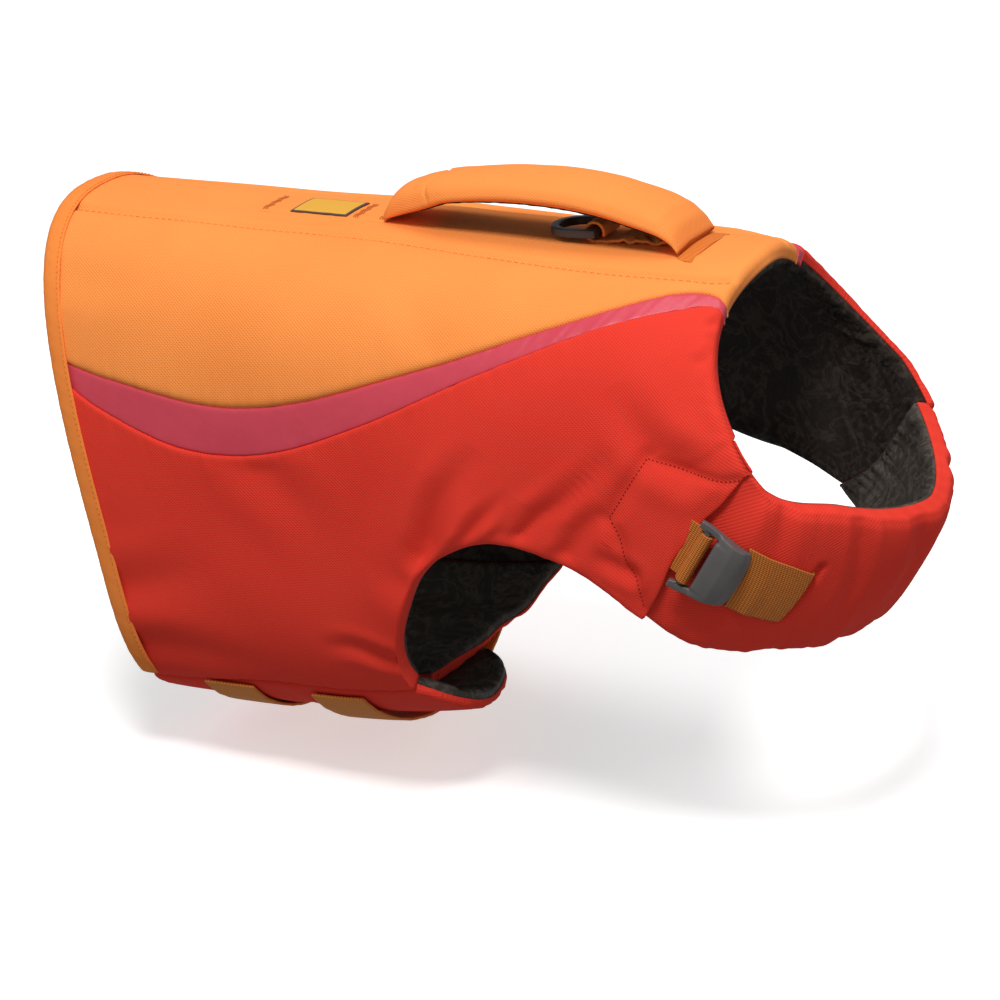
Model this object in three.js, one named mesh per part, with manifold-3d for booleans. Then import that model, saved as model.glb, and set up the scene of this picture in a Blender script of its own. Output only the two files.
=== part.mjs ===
import * as THREE from "three";
import { mergeVertices } from "three/addons/utils/BufferGeometryUtils.js";
import Module from "manifold-3d";

const wasm = await Module();
wasm.setup();

// A dog life jacket, filled out as if worn. Millimetres: X to the head, Y to the dog's left, Z up.
// The origin lies on the lining under the spine, where the wearer's back holds the jacket up.
// The cloth follows rings round the chest, from ring 0 at the hem to ring 6 at the neck. A place
// on it is a ring and a share of the half girth: 0 at the spine, 1 at the belly, minus on the right.

// Thicknesses and widths
const seamGap = 0.3;
const foamThick = 8;
const sleeveThick = 2.6;
const flapThick = 6;
const flapInset = 8.4;
const bandThick = 13;
const liningThick = 1;
const puff = 1;
const webbingWide = 27;
const webbingThick = 1.5;
const tapeThick = 1;
const hemTape = 10;
const liningStep = 2;
const liningGap = 0.7;
const liningFrom = 0.2;
const liningWhole = 4.4;

// The rings. boxTop and boxLow square off the upper and lower half; bow bends the ring to the head.
const rings = curveThrough(
  ["ring", "topX", "topZ", "lowX", "lowZ", "half", "widest", "boxTop", "boxLow", "bow"],
  [
    [0, -255, 4.7, -181, -237.3, 97, 0.65, 2.4, 2.9, 10],
    [1, -162, 5.2, -118, -235.3, 101, 0.6, 2.85, 2.75, 6],
    [2, -76, 8.2, -53, -229.3, 104.5, 0.58, 2.95, 2.65, 2],
    [3, 4, 9.7, 30, -211.3, 106, 0.6, 2.85, 2.3, 0],
    [4, 63, 12.7, 112, -197.3, 104, 0.58, 2.85, 2.15, -5],
    [5, 94, 14.2, 165, -156.3, 99, 0.6, 2.35, 1.95, -13],
    [6, 105, 17.7, 199, -96.3, 95, 0.66, 1.8, 1.65, -26],
  ],
);
const neckRing = 6;

// Where the stitched channel beside the spine and the trim's two edges run
const channelLine = curveThrough(
  ["ring", "share"],
  [[0, 0.083], [1.2, 0.084], [2.2, 0.089], [3.1, 0.108], [4, 0.116], [6, 0.118]],
);
const trimTop = curveThrough(
  ["ring", "share"],
  [[0, 0.313], [0.4, 0.335], [1.14, 0.358], [1.79, 0.342], [2.55, 0.292], [3.34, 0.229],
    [4.28, 0.163], [4.8, 0.149], [5.3, 0.16], [6, 0.187]],
);
const trimLow = curveThrough(
  ["ring", "share"],
  [[0, 0.333], [0.31, 0.375], [0.87, 0.416], [1.5, 0.412], [2.19, 0.366], [2.93, 0.292],
    [3.85, 0.219], [4.92, 0.179], [5.5, 0.188], [6, 0.207]],
);

// The side panels' lower edge. Each column of the body runs from ring topAt at the spine and the
// trim down to ring lowAt and share lowShare: along the belly seam, then round the leg, and then up
// the sleeve mouth on the right, or up the joint with the chest band on the left.
const edgeNames = ["topAt", "lowAt", "lowShare"];
const bellySeam = curveThrough(edgeNames, [[0, 0, 0.78], [0.6, 0.6, 0.764], [1.1, 1.13, 0.749],
  [1.6, 1.8, 0.746], [2, 2.3, 0.742]]);
const legEdge = curveThrough(edgeNames, [[2, 2.3, 0.742], [2.12, 2.28, 0.7], [2.26, 2.3, 0.655],
  [2.4, 2.38, 0.605], [2.52, 2.47, 0.565], [2.66, 2.62, 0.535], [2.88, 2.86, 0.514],
  [3.1, 3.06, 0.514], [3.3, 3.3, 0.526], [3.55, 3.62, 0.556], [3.8, 3.96, 0.615]]);
const leftLegFront = curveThrough(edgeNames, [[3.1, 3.06, 0.514], [3.3, 3.3, 0.524],
  [3.55, 3.6, 0.547], [3.8, 3.9, 0.567]]);
const sleeveMouth = curveThrough(edgeNames, [[3.8, 3.96, 0.615], [4.05, 4.18, 0.579],
  [4.3, 4.4, 0.543], [4.9, 4.86, 0.511], [5.4, 5.25, 0.506], [6, 5.89, 0.509]]);
const leftShoulder = curveThrough(edgeNames, [[3.8, 3.9, 0.567], [4.1, 4.18, 0.6],
  [4.5, 4.5, 0.646]]);
const bandJoint = curveThrough(edgeNames, [[4.5, 4.5, 0.646], [5, 4.98, 0.652], [5.5, 5.47, 0.657],
  [6, 6, 0.66]]);
const columns = [
  [0.03, 0.09, 0.17, 0.22, 0.42, 0.65, 0.9, 1.15, 1.4, 1.65, 1.85, 2],
  [2.12, 2.24, 2.38, 2.52, 2.68, 2.86, 3.04, 3.22, 3.4, 3.6, 3.8],
  [4.02, 4.25, 4.5, 4.85, 5.3, 5.75, 6],
].flat();

// Rows of each panel: how far down the panel, and how far the cloth stands out of the ring there
const sideRows = [[0, -1.6], [0.03, 0], [0.14, puff], [0.29, puff], [0.44, puff], [0.59, puff],
  [0.74, puff], [0.88, puff], [0.97, 0], [1, -1.6]];
const trimRows = [[0, -1.2], [0.5, -0.4], [1, -1.2]];
const middleRows = [[0, puff], [0.45, puff], [0.87, 0.6], [1, -1.6]];
const outerBackRows = [[0.05, 0.3], [0.28, puff], [0.52, puff], [0.76, puff], [0.96, 0], [1, -1.6]];

// The right sleeve mouth has no foam inside this stitched outline, given as ring and share
const sleevePatch = { back: [3.87, 0.467], top: [4.33, 0.403], front: [6, 0.44], soft: 0.05 };

// The chest band, from the left joint round the front and into the sleeve. A share over 1 is past
// the middle of the chest, on the right side. bulge carries the end out to the sleeve's curved mouth.
const bandEdges = curveThrough(
  ["along", "topShare", "lowAt", "lowShare", "bulge"],
  [[0, 0.66, 4.5, 0.646, 0], [0.2, 0.8, 4.86, 0.77, 0], [0.42, 1, 4.95, 1, 0],
    [0.62, 1.2, 4.72, 1.2, 0.005], [0.78, 1.34, 4.4, 1.287, 0.02], [0.88, 1.43, 4.15, 1.339, 0.036],
    [0.95, 1.487, 3.99, 1.382, 0.048], [1, 1.504, 3.93, 1.393, 0.056]],
);
const bandColumns = [0.003, 0.02, 0.08, 0.14, 0.2, 0.26, 0.32, 0.38, 0.44, 0.5, 0.56, 0.62, 0.68,
  0.74, 0.8, 0.86, 0.93, 1];
const bandRows = [[0, -4.5], [0.05, -1.5], [0.18, 0.8], [0.4, 1.6], [0.62, 1.6], [0.82, 0.8],
  [0.95, -1.5], [1, -4.5]];
const bandTuck = { from: 0.86, to: 0.93, out: -3.2, thick: 4.6 };

// The belly flaps: how far each reaches to the front, by its share past the belly seam
const rightFlapFront = curveThrough(
  ["share", "ring"],
  [[0.742, 2.3], [0.77, 2.4], [0.83, 2.5], [0.9, 2.48], [1, 2.38], [1.08, 2.28]],
);
const leftFlapFront = curveThrough(
  ["share", "ring"],
  [[0.742, 2.3], [0.78, 2.2], [0.85, 2.12], [1, 2.06], [1.08, 2.04]],
);
const flapEnd = 1.08;
const flapStep = { from: 0.8, to: 0.89 };
const flapStart = 0.03;
const flapAlong = [0, 0.08, 0.2, 0.32, 0.44, 0.56, 0.68, 0.8, 0.91, 1];
const flapRound = [0, 0.04, 0.15, 0.27, 0.38, 0.52, 0.66, 0.8, 0.94, 1];

// The handle over the spine: rise is its side seam's height over the back
const handle = curveThrough(
  ["x", "rise", "above", "below", "wide"],
  [
    [-83, 2, 5.5, 1.5, 28],
    [-80, 3.4, 10.4, 1.6, 30],
    [-73, 6.2, 12.8, 1.8, 33],
    [-60, 11.2, 12, 2.2, 38],
    [-47, 16.4, 9.4, 2.6, 42],
    [-19, 20.8, 8.7, 4, 44],
    [5, 21.5, 8.5, 4.5, 45],
    [27, 19.3, 8.5, 4.5, 45],
    [46, 14.7, 8.8, 4, 45],
    [60, 10.5, 8, 3.4, 45],
    [67, 6.4, 6, 2.4, 45],
    [71, 2.2, 2.4, 1.2, 46],
  ],
);
const handleStations = [-83, -80.5, -75, -67, -58, -47, -34, -19, -4, 11, 27, 40, 50, 60, 66, 71];
const handleSides = 14;
const underside = { fromX: -62, toX: 60, halfAngle: 0.95, steps: 4 };
const anchor = { fromX: 71.4, toX: 79, wide: 48 };
const spineStrap = { fromX: -150, toX: -83.5, wide: 28 };
const label = { fromX: -129, toX: -103, wide: 18 };

// The leash ring: a D with its bar across the spine and its round end to the rear, where it lies
// down on the back
const leash = { barX: 24, wide: 28, long: 25, section: 4, height: 5.1, droop: 5, tabWide: 18 };
const tab = { holeRadius: 3.2, toX: 66 };

// The neck adjuster, on the right side in front of the sleeve mouth: the edges of its webbing
const neckWeb = curveThrough(
  ["along", "topAt", "topShare", "lowAt", "lowShare"],
  [[0, 4.92, 0.515, 4.37, 0.56], [0.18, 5.05, 0.536, 4.44, 0.58], [0.5, 5.31, 0.58, 4.71, 0.626],
    [0.75, 5.45, 0.65, 4.88, 0.672], [1, 5.5, 0.716, 5.01, 0.716]],
);
const neckWebFrom = 0.56;
const neckBuckle = { along: 0.27, long: 27, wide: 34, barThick: 3, windowLong: 9, bodyThick: 5.2,
  lift: 0.6 };

// The belly straps and their buckles on the left flank
const bellyStraps = [
  { name: "rear", ring: 0.79, sag: 0.6 },
  { name: "front", ring: 1.71, sag: 5 },
];
const strapRun = { from: 0.757, to: 1.262, lean: 0.09, half: 0.21, steps: 16 };
const bellyBuckle = { from: 0.733, to: 0.625, wide: 34, thick: 7, bevel: 1.2 };
const anchorRun = { from: 0.62, to: 0.57 };

// Finishes
const finishes = {
  orange: { color: 0xf89650, roughness: 0.8, metalness: 0 },
  red: { color: 0xdc3226, roughness: 0.8, metalness: 0 },
  pink: { color: 0xde5866, roughness: 0.35, metalness: 0 },
  dark: { color: 0x2a2019, roughness: 0.9, metalness: 0 },
  webbing: { color: 0xcd7d23, roughness: 0.7, metalness: 0 },
  plastic: { color: 0x4f4b4b, roughness: 0.5, metalness: 0 },
  plain: { color: 0xe2b04a, roughness: 0.8, metalness: 0 },
};

// A smooth curve through the rows of a table, read by its first column
function curveThrough(names, rows) {
  const last = rows.length - 1;
  const slope = (row, col) => {
    const before = rows[Math.max(row - 1, 0)];
    const after = rows[Math.min(row + 1, last)];
    return (after[col] - before[col]) / (after[0] - before[0]);
  };
  return (at) => {
    let row = 0;
    while (row < last - 1 && rows[row + 1][0] < at) row += 1;
    const start = rows[row];
    const end = rows[row + 1];
    const span = end[0] - start[0];
    const f = Math.min(Math.max((at - start[0]) / span, 0), 1);
    const values = {};
    names.forEach((name, col) => {
      const rise = end[col] - start[col];
      const m0 = slope(row, col) * span;
      const m1 = slope(row + 1, col) * span;
      values[name] = start[col] + m0 * f + (3 * rise - 2 * m0 - m1) * f * f
        + (m0 + m1 - 2 * rise) * f * f * f;
    });
    return values;
  };
}

function mix(a, b, f) {
  return a + (b - a) * f;
}

function smoothStep(from, to, at) {
  const f = Math.min(Math.max((at - from) / (to - from), 0), 1);
  return f * f * (3 - 2 * f);
}

// One point of a ring, from angle 0 at the spine to PI at the belly, on the left half
function ringPoint(row, angle) {
  const upper = angle < Math.PI / 2;
  const power = 2 / (upper ? row.boxTop : row.boxLow);
  const drop = Math.abs(Math.cos(angle)) ** power;
  const down = upper ? row.widest * (1 - drop) : row.widest + (1 - row.widest) * drop;
  const x = mix(row.topX, row.lowX, down) + row.bow * 4 * down * (1 - down);
  const y = row.half * Math.abs(Math.sin(angle)) ** power;
  return new THREE.Vector3(x, y, mix(row.topZ, row.lowZ, down));
}

// A ring with the length run so far at each of its steps
const ringSteps = 360;
const measured = new Map();
function measuredRing(at) {
  if (!measured.has(at)) {
    const row = rings(at);
    const runs = [0];
    let before = ringPoint(row, 0);
    for (let step = 1; step <= ringSteps; step += 1) {
      const point = ringPoint(row, (Math.PI * step) / ringSteps);
      runs.push(runs[step - 1] + point.distanceTo(before));
      before = point;
    }
    measured.set(at, { row, runs });
  }
  return measured.get(at);
}

// The bare form at a ring and a share of its half girth
function skin(at, share) {
  const { row, runs } = measuredRing(at);
  let side = share;
  if (share > 1) side = share - 2;
  if (share < -1) side = share + 2;
  const run = Math.abs(side) * runs[ringSteps];
  let step = 0;
  while (step < ringSteps - 1 && runs[step + 1] < run) step += 1;
  const f = (run - runs[step]) / (runs[step + 1] - runs[step]);
  const point = ringPoint(row, (Math.PI * (step + Math.min(f, 1))) / ringSteps);
  if (side < 0) point.y = -point.y;
  return point;
}

function outward(at, share) {
  const stepAt = 0.02;
  const stepShare = 0.004;
  const front = skin(Math.min(at + stepAt, neckRing), share);
  const rear = skin(Math.max(at - stepAt, 0), share);
  const along = front.sub(rear);
  const round = skin(at, share + stepShare).sub(skin(at, share - stepShare));
  return along.cross(round).normalize();
}

function cloth(at, share, out) {
  return skin(at, share).addScaledVector(outward(at, share), out);
}

// The ring whose spine point has this X
function ringAtX(x) {
  let low = 0;
  let high = neckRing;
  for (let step = 0; step < 30; step += 1) {
    const middle = (low + high) / 2;
    if (rings(middle).topX < x) low = middle;
    else high = middle;
  }
  return low;
}

function backTop(x) {
  return rings(ringAtX(x)).topZ + puff;
}

// A closed body from points and triangles, turned so that its faces look out
function bodyFrom(points, faces) {
  let volume = 0;
  for (const [a, b, c] of faces) {
    volume += points[a].dot(points[b].clone().cross(points[c]));
  }
  const turned = volume < 0 ? faces.map(([a, b, c]) => [a, c, b]) : faces;
  const geometry = new THREE.BufferGeometry();
  const position = new Float32Array(points.flatMap((point) => [point.x, point.y, point.z]));
  geometry.setAttribute("position", new THREE.BufferAttribute(position, 3));
  geometry.setIndex(turned.flat());
  return geometry;
}

// A wall between two grids of points, outer and inner, closed round its rim
function wall(outer, inner) {
  const columnCount = outer.length;
  const rowCount = outer[0].length;
  const points = [...outer.flat(), ...inner.flat()];
  const half = columnCount * rowCount;
  const out = (i, j) => i * rowCount + j;
  const faces = [];
  const quad = (a, b, c, d) => faces.push([a, b, c], [a, c, d]);
  for (let i = 0; i < columnCount - 1; i += 1) {
    for (let j = 0; j < rowCount - 1; j += 1) {
      quad(out(i, j), out(i + 1, j), out(i + 1, j + 1), out(i, j + 1));
      quad(half + out(i, j), half + out(i, j + 1), half + out(i + 1, j + 1), half + out(i + 1, j));
    }
  }
  const rim = (a, b) => quad(b, a, half + a, half + b);
  for (let i = 0; i < columnCount - 1; i += 1) {
    rim(out(i, 0), out(i + 1, 0));
    rim(out(i + 1, rowCount - 1), out(i, rowCount - 1));
  }
  for (let j = 0; j < rowCount - 1; j += 1) {
    rim(out(0, j + 1), out(0, j));
    rim(out(columnCount - 1, j), out(columnCount - 1, j + 1));
  }
  return bodyFrom(points, faces);
}

// A body swept through sections with the same number of points, with flat ends
function swept(sections) {
  const count = sections[0].length;
  const faces = [];
  for (let k = 0; k < sections.length - 1; k += 1) {
    for (let p = 0; p < count; p += 1) {
      const q = (p + 1) % count;
      const a = k * count;
      const b = (k + 1) * count;
      faces.push([a + p, a + q, b + q], [a + p, b + q, b + p]);
    }
  }
  const outline = sections[0].map((point) => new THREE.Vector2(point.u, point.v));
  const end = (sections.length - 1) * count;
  for (const [p, q, r] of THREE.ShapeUtils.triangulateShape(outline, [])) {
    faces.push([p, r, q], [end + p, end + q, end + r]);
  }
  return bodyFrom(sections.flat().map((point) => point.place), faces);
}

// Draws a grid's outer rows and columns in by half a seam gap
function parted(grid) {
  const last = grid.length - 1;
  const end = grid[0].length - 1;
  const drawn = grid.map((column) => column.map((point) => point.clone()));
  const draw = (i, j, toI, toJ) => {
    const step = grid[toI][toJ].clone().sub(grid[i][j]).setLength(seamGap / 2);
    drawn[i][j].add(step);
  };
  for (let j = 0; j <= end; j += 1) {
    draw(0, j, 1, j);
    draw(last, j, last - 1, j);
  }
  for (let i = 0; i <= last; i += 1) {
    draw(i, 0, i, 1);
    draw(i, end, i, end - 1);
  }
  return drawn;
}

function sheetWall(places, outOf, inOf) {
  const outer = places.map((column) => column.map((p) => cloth(p.at, p.share, outOf(p))));
  const inner = places.map((column) => column.map((p) => cloth(p.at, p.share, inOf(p))));
  return wall(parted(outer), parted(inner));
}

// The body's places: one column of rows from the right lower edge over the spine to the left one
function lowEdge(topAt, side) {
  if (topAt <= 2) return bellySeam(topAt);
  if (topAt <= 3.1) return legEdge(topAt);
  if (topAt <= 3.8) return side < 0 ? legEdge(topAt) : leftLegFront(topAt);
  if (side < 0) return sleeveMouth(topAt);
  return topAt <= 4.5 ? leftShoulder(topAt) : bandJoint(topAt);
}

const rowKinds = [
  ...sideRows.map(([f, out]) => ({ panel: "side", f, out })).reverse(),
  ...trimRows.map(([f, out]) => ({ panel: "trim", f, out })).reverse(),
  ...outerBackRows.map(([f, out]) => ({ panel: "back", f, out })).reverse(),
  ...middleRows.map(([f, out]) => ({ panel: "middle", f, out })).reverse(),
];

function bodyPlace(topAt, kind, side) {
  const channel = channelLine(topAt).share;
  const top = trimTop(topAt).share;
  const low = trimLow(topAt).share;
  if (kind.panel === "middle") return { at: topAt, share: side * channel * kind.f };
  if (kind.panel === "back") return { at: topAt, share: side * mix(channel, top, kind.f) };
  if (kind.panel === "trim") return { at: topAt, share: side * mix(top, low, kind.f) };
  const edge = lowEdge(topAt, side);
  return { at: mix(topAt, edge.lowAt, kind.f), share: side * mix(low, edge.lowShare, kind.f) };
}

// The hem lies flat under its tape, and the neck edge is drawn in
const underTape = { upTo: 0.18, out: -1.4 };
const neckEdge = { from: 5.9, out: -1.6 };
function columnOut(topAt) {
  if (topAt < underTape.upTo) return underTape.out;
  if (topAt > neckEdge.from) return neckEdge.out;
  return puff;
}

function bodyPlaces(panels, side, from = 0) {
  return columns.filter((topAt) => topAt >= from).map((topAt) => rowKinds
    .filter((kind) => panels.includes(kind.panel))
    .map((kind) => ({
      ...bodyPlace(topAt, kind, side),
      out: Math.min(kind.out, columnOut(topAt)),
    })));
}

// 1 well inside the sleeve's flat patch, 0 outside it
function inSleevePatch({ at, share }) {
  if (share > 0) return 0;
  const { back, top, front, soft } = sleevePatch;
  const beside = (a, b) => {
    const run = [b[0] - a[0], (b[1] - a[1]) * 6];
    const to = [at - a[0], (-share - a[1]) * 6];
    return (run[0] * to[1] - run[1] * to[0]) / Math.hypot(...run);
  };
  const inside = Math.min(beside(back, top), beside(top, front));
  const behind = at > back[0] - soft ? 1 : 0;
  return behind * smoothStep(0, soft * 2, inside);
}

function sideThick(place) {
  return mix(foamThick, sleeveThick, inSleevePatch(place));
}

function sideWall(side) {
  const places = bodyPlaces(["side"], side);
  return sheetWall(places, (p) => p.out, (p) => -sideThick(p));
}

function trimWall(side) {
  const places = bodyPlaces(["trim"], side);
  return sheetWall(places, (p) => p.out, () => -foamThick);
}

function backWall() {
  const right = bodyPlaces(["back", "middle"], -1);
  const left = bodyPlaces(["back", "middle"], 1);
  const places = right.map((column, i) => [...column, ...[...left[i]].reverse().slice(1)]);
  return sheetWall(places, (p) => p.out, () => -foamThick);
}

// The lining repeats every second row and column of the body, just inside the foam, and near the
// neck, where the back rises, every column
function thinned(list) {
  return list.filter((item, i) => i % liningStep === 0 || i === list.length - 1);
}

function liningWall(places) {
  const inside = places.map((column) => column.map((p) => ({ ...p, out: p.inner - liningGap })));
  return sheetWall(inside, (p) => p.out, (p) => p.out - liningThick);
}

function bodyLining() {
  const all = ["side", "trim", "back", "middle"];
  const right = bodyPlaces(all, -1, liningFrom);
  const left = bodyPlaces(all, 1, liningFrom);
  const places = right.map((column, i) => {
    const half = thinned([...column].reverse()).reverse();
    const other = thinned([...left[i]].reverse());
    return [...half, ...other.slice(1)].map((p) => ({ ...p, inner: -foamThick }));
  });
  const listed = columns.filter((topAt) => topAt >= liningFrom);
  const kept = thinned(listed);
  return liningWall(places.filter((column, i) => kept.includes(listed[i]) || listed[i] > liningWhole));
}

// The chest band
function bandPlaces(columnList) {
  return columnList.map((along) => {
    const edge = bandEdges(along);
    const tuck = smoothStep(bandTuck.from, bandTuck.to, along);
    return bandRows.map(([f, out]) => ({
      at: mix(neckRing, edge.lowAt, f),
      share: mix(edge.topShare, edge.lowShare, f) + edge.bulge * 4 * f * (1 - f),
      out: mix(out, bandTuck.out, tuck),
      inner: mix(-bandThick, bandTuck.out - bandTuck.thick, tuck),
    }));
  });
}

function bandWall() {
  return sheetWall(bandPlaces(bandColumns), (p) => p.out, (p) => p.inner);
}

function bandLining() {
  return liningWall(bandPlaces(bandColumns.filter((along) => along <= bandTuck.to)));
}

// The belly flaps. The left one steps in, so that it lies inside the right one.
function flapPlaces(side) {
  const front = side < 0 ? rightFlapFront : leftFlapFront;
  return flapAlong.map((f) => flapRound.map((down) => {
    const seamAt = mix(flapStart, 2, f);
    const seam = bellySeam(seamAt);
    const share = mix(seam.lowShare, flapEnd, down);
    const reach = front(mix(0.742, flapEnd, down)).ring;
    const step = side < 0 ? 0 : smoothStep(flapStep.from, flapStep.to, share);
    const edge = Math.min(down, 1 - down, f, 1 - f);
    const drawn = edge < 0.01 ? -1.4 : 0.2;
    return {
      at: mix(flapStart, reach, (seam.lowAt - flapStart) / (2.3 - flapStart)),
      share: side * share,
      out: drawn - step * flapInset,
      inner: -flapThick - step * flapInset,
    };
  }));
}

// The hem tape, folded over the rear edge. Each corner is how far in from the edge and how far out.
const tapeOut = 1.2;
const tapeEnd = 0.757;
const tapeIn = -foamThick - 1.5;
const tapeCorners = [[hemTape, tapeOut], [2, tapeOut], [0.3, -1], [0, -4.5], [0.3, tapeIn + 1.2],
  [2, tapeIn - tapeThick], [hemTape, tapeIn - tapeThick], [hemTape, tapeIn], [2.3, tapeIn],
  [1.2, tapeIn + 1.6], [1.2, -1.3], [2.3, tapeOut - tapeThick], [hemTape, tapeOut - tapeThick]];
function hemBinding() {
  const steps = 36;
  const sections = [];
  for (let k = 0; k <= steps; k += 1) {
    const share = mix(-tapeEnd, tapeEnd, k / steps);
    const edge = skin(0, share);
    const normal = outward(0, share);
    const inwards = skin(0.1, share).sub(edge);
    inwards.addScaledVector(normal, -inwards.dot(normal)).normalize();
    sections.push(tapeCorners.map(([u, v]) => ({
      u,
      v,
      place: edge.clone().addScaledVector(inwards, u).addScaledVector(normal, v),
    })));
  }
  return swept(sections);
}

// The handle
function handlePoint(x, angle, extra = 0) {
  const row = handle(x);
  const round = 0.8;
  const across = Math.sign(Math.cos(angle)) * Math.abs(Math.cos(angle)) ** round;
  const up = Math.sign(Math.sin(angle)) * Math.abs(Math.sin(angle)) ** round;
  const tall = (up > 0 ? row.above : row.below) + extra;
  const y = across * (row.wide / 2 + extra);
  return { u: across, v: up, place: new THREE.Vector3(x, y, backTop(x) + row.rise + up * tall) };
}

function handleGrip() {
  return swept(handleStations.map((x) => {
    const section = [];
    for (let k = 0; k < handleSides; k += 1) {
      section.push(handlePoint(x, (2 * Math.PI * k) / handleSides));
    }
    return section;
  }));
}

function handleUnderside() {
  const stations = handleStations.filter((x) => x > underside.fromX && x <= underside.toX);
  const layer = (extra) => stations.map((x) => {
    const column = [];
    for (let k = 0; k <= underside.steps; k += 1) {
      const turn = mix(-underside.halfAngle, underside.halfAngle, k / underside.steps);
      column.push(handlePoint(x, turn - Math.PI / 2, extra).place);
    }
    return column;
  });
  return wall(layer(seamGap + tapeThick), layer(seamGap + 0.2));
}

// A flat strip over the spine from one X to another
function spineStrip(fromX, toX, wide, out, thick, steps) {
  const layer = (height) => {
    const grid = [];
    for (let k = 0; k <= steps; k += 1) {
      const x = mix(fromX, toX, k / steps);
      grid.push([-0.5, 0, 0.5].map((f) => new THREE.Vector3(x, f * wide, backTop(x) + height)));
    }
    return grid;
  };
  return wall(layer(out + thick), layer(out));
}

// The leash ring and its tab. The ring's bar is square, and turns inside the tab's loop.
const barHeight = backTop(leash.barX) + leash.height;
function leashRing() {
  const { wide, long, section } = leash;
  const rounding = wide / 2;
  const outline = (inset) => {
    const half = wide / 2 - inset;
    const start = section / 2 - inset;
    const path = new THREE.Path();
    path.moveTo(start, -half);
    path.lineTo(start, half);
    path.lineTo(-(long - rounding), half);
    path.absarc(-(long - rounding), 0, half, Math.PI / 2, (3 * Math.PI) / 2, false);
    path.closePath();
    return path;
  };
  const shape = new THREE.Shape(outline(0).getPoints(8));
  shape.holes.push(new THREE.Path(outline(section).getPoints(8)));
  const geometry = new THREE.ExtrudeGeometry(shape, { depth: section, bevelEnabled: false });
  geometry.translate(0, 0, -section / 2).rotateY(-THREE.MathUtils.degToRad(leash.droop));
  return geometry.translate(leash.barX, 0, barHeight);
}

function ringTab() {
  const sides = 10;
  const inner = [];
  const outer = [];
  for (let k = 0; k < sides; k += 1) {
    const angle = (2 * Math.PI * (k + 0.5)) / sides;
    inner.push([Math.cos(angle) * tab.holeRadius, Math.sin(angle) * tab.holeRadius]);
    const reach = tab.holeRadius + webbingThick;
    outer.push([Math.cos(angle) * reach, Math.sin(angle) * reach]);
  }
  // The loop opens forward into a strip that lies on the back
  const strip = [];
  const steps = 5;
  for (let k = 0; k <= steps; k += 1) {
    const x = mix(leash.barX + tab.holeRadius + 4, tab.toX, k / steps);
    strip.push([x - leash.barX, backTop(x) + seamGap - barHeight]);
  }
  const upper = strip.map(([x, z]) => [x, z + webbingThick]).reverse();
  const outline = [...outer.slice(0, -1), ...strip, ...upper];
  const toVector = ([x, z]) => new THREE.Vector2(x, z);
  const shape = new THREE.Shape(outline.map(toVector));
  shape.holes.push(new THREE.Path(inner.map(toVector)));
  const depth = leash.tabWide;
  const geometry = new THREE.ExtrudeGeometry(shape, { depth, bevelEnabled: false });
  geometry.rotateX(Math.PI / 2);
  return geometry.translate(leash.barX, depth / 2, barHeight);
}

// The neck adjuster stands in a frame on the band: forward, across and out
function neckFrame() {
  const row = neckWeb(neckBuckle.along);
  const at = (row.topAt + row.lowAt) / 2;
  const share = (row.topShare + row.lowShare) / 2;
  const out = outward(at, -share);
  const across = skin(row.topAt, -row.topShare).sub(skin(row.lowAt, -row.lowShare));
  across.addScaledVector(out, -across.dot(out)).normalize();
  const forward = across.clone().cross(out).normalize();
  const place = cloth(at, -share, puff + seamGap + neckBuckle.lift);
  return new THREE.Matrix4().makeBasis(forward, out, across.clone().negate()).setPosition(place);
}

function solidOf(geometry) {
  const bare = geometry.clone();
  bare.deleteAttribute("normal");
  bare.deleteAttribute("uv");
  const merged = mergeVertices(bare, 1e-4);
  const vertProperties = new Float32Array(merged.attributes.position.array);
  const triVerts = new Uint32Array(merged.index.array);
  return new wasm.Manifold(new wasm.Mesh({ numProp: 3, vertProperties, triVerts }));
}

function geometryOf(solid) {
  const mesh = solid.getMesh();
  const geometry = new THREE.BufferGeometry();
  const position = new Float32Array(mesh.vertProperties);
  geometry.setAttribute("position", new THREE.BufferAttribute(position, 3));
  geometry.setIndex(Array.from(mesh.triVerts));
  return geometry;
}

// Extrudes a side profile, drawn forward and out, across a width
function acrossFrom(profile, wide, centre = 0, holes = []) {
  const toVectors = (list) => list.map(([x, z]) => new THREE.Vector2(x, z));
  const shape = new THREE.Shape(toVectors(profile));
  holes.forEach((hole) => shape.holes.push(new THREE.Path(toVectors(hole))));
  const geometry = new THREE.ExtrudeGeometry(shape, { depth: wide, bevelEnabled: false });
  return geometry.translate(0, 0, centre - wide / 2);
}

function neckBuckleBody() {
  const { long, wide, barThick, windowLong, bodyThick } = neckBuckle;
  const rear = -long / 2;
  const windowEnd = rear + barThick + windowLong;
  const body = acrossFrom([[windowEnd, 0], [long / 2 - 1, 0], [long / 2, 1.4], [long / 2 - 3, 3.6],
    [windowEnd + 6, bodyThick], [windowEnd, bodyThick - 0.6]], wide - 1);
  const railWide = (wide - webbingWide) / 2 - 0.4;
  const rails = [-1, 1].map((side) => acrossFrom([[rear, 0.6], [windowEnd + 1, 0.2],
    [windowEnd + 1, 4], [rear, 3.6]], railWide, (side * (wide - 0.6 - railWide)) / 2));
  const bar = acrossFrom([[rear, 0.8], [rear + barThick, 0.8], [rear + barThick, 3.4], [rear, 3.4]],
    wide - 1);
  const joined = rails.reduce((solid, rail) => solid.add(solidOf(rail)), solidOf(body));
  return geometryOf(joined.add(solidOf(bar))).applyMatrix4(neckFrame());
}

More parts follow.
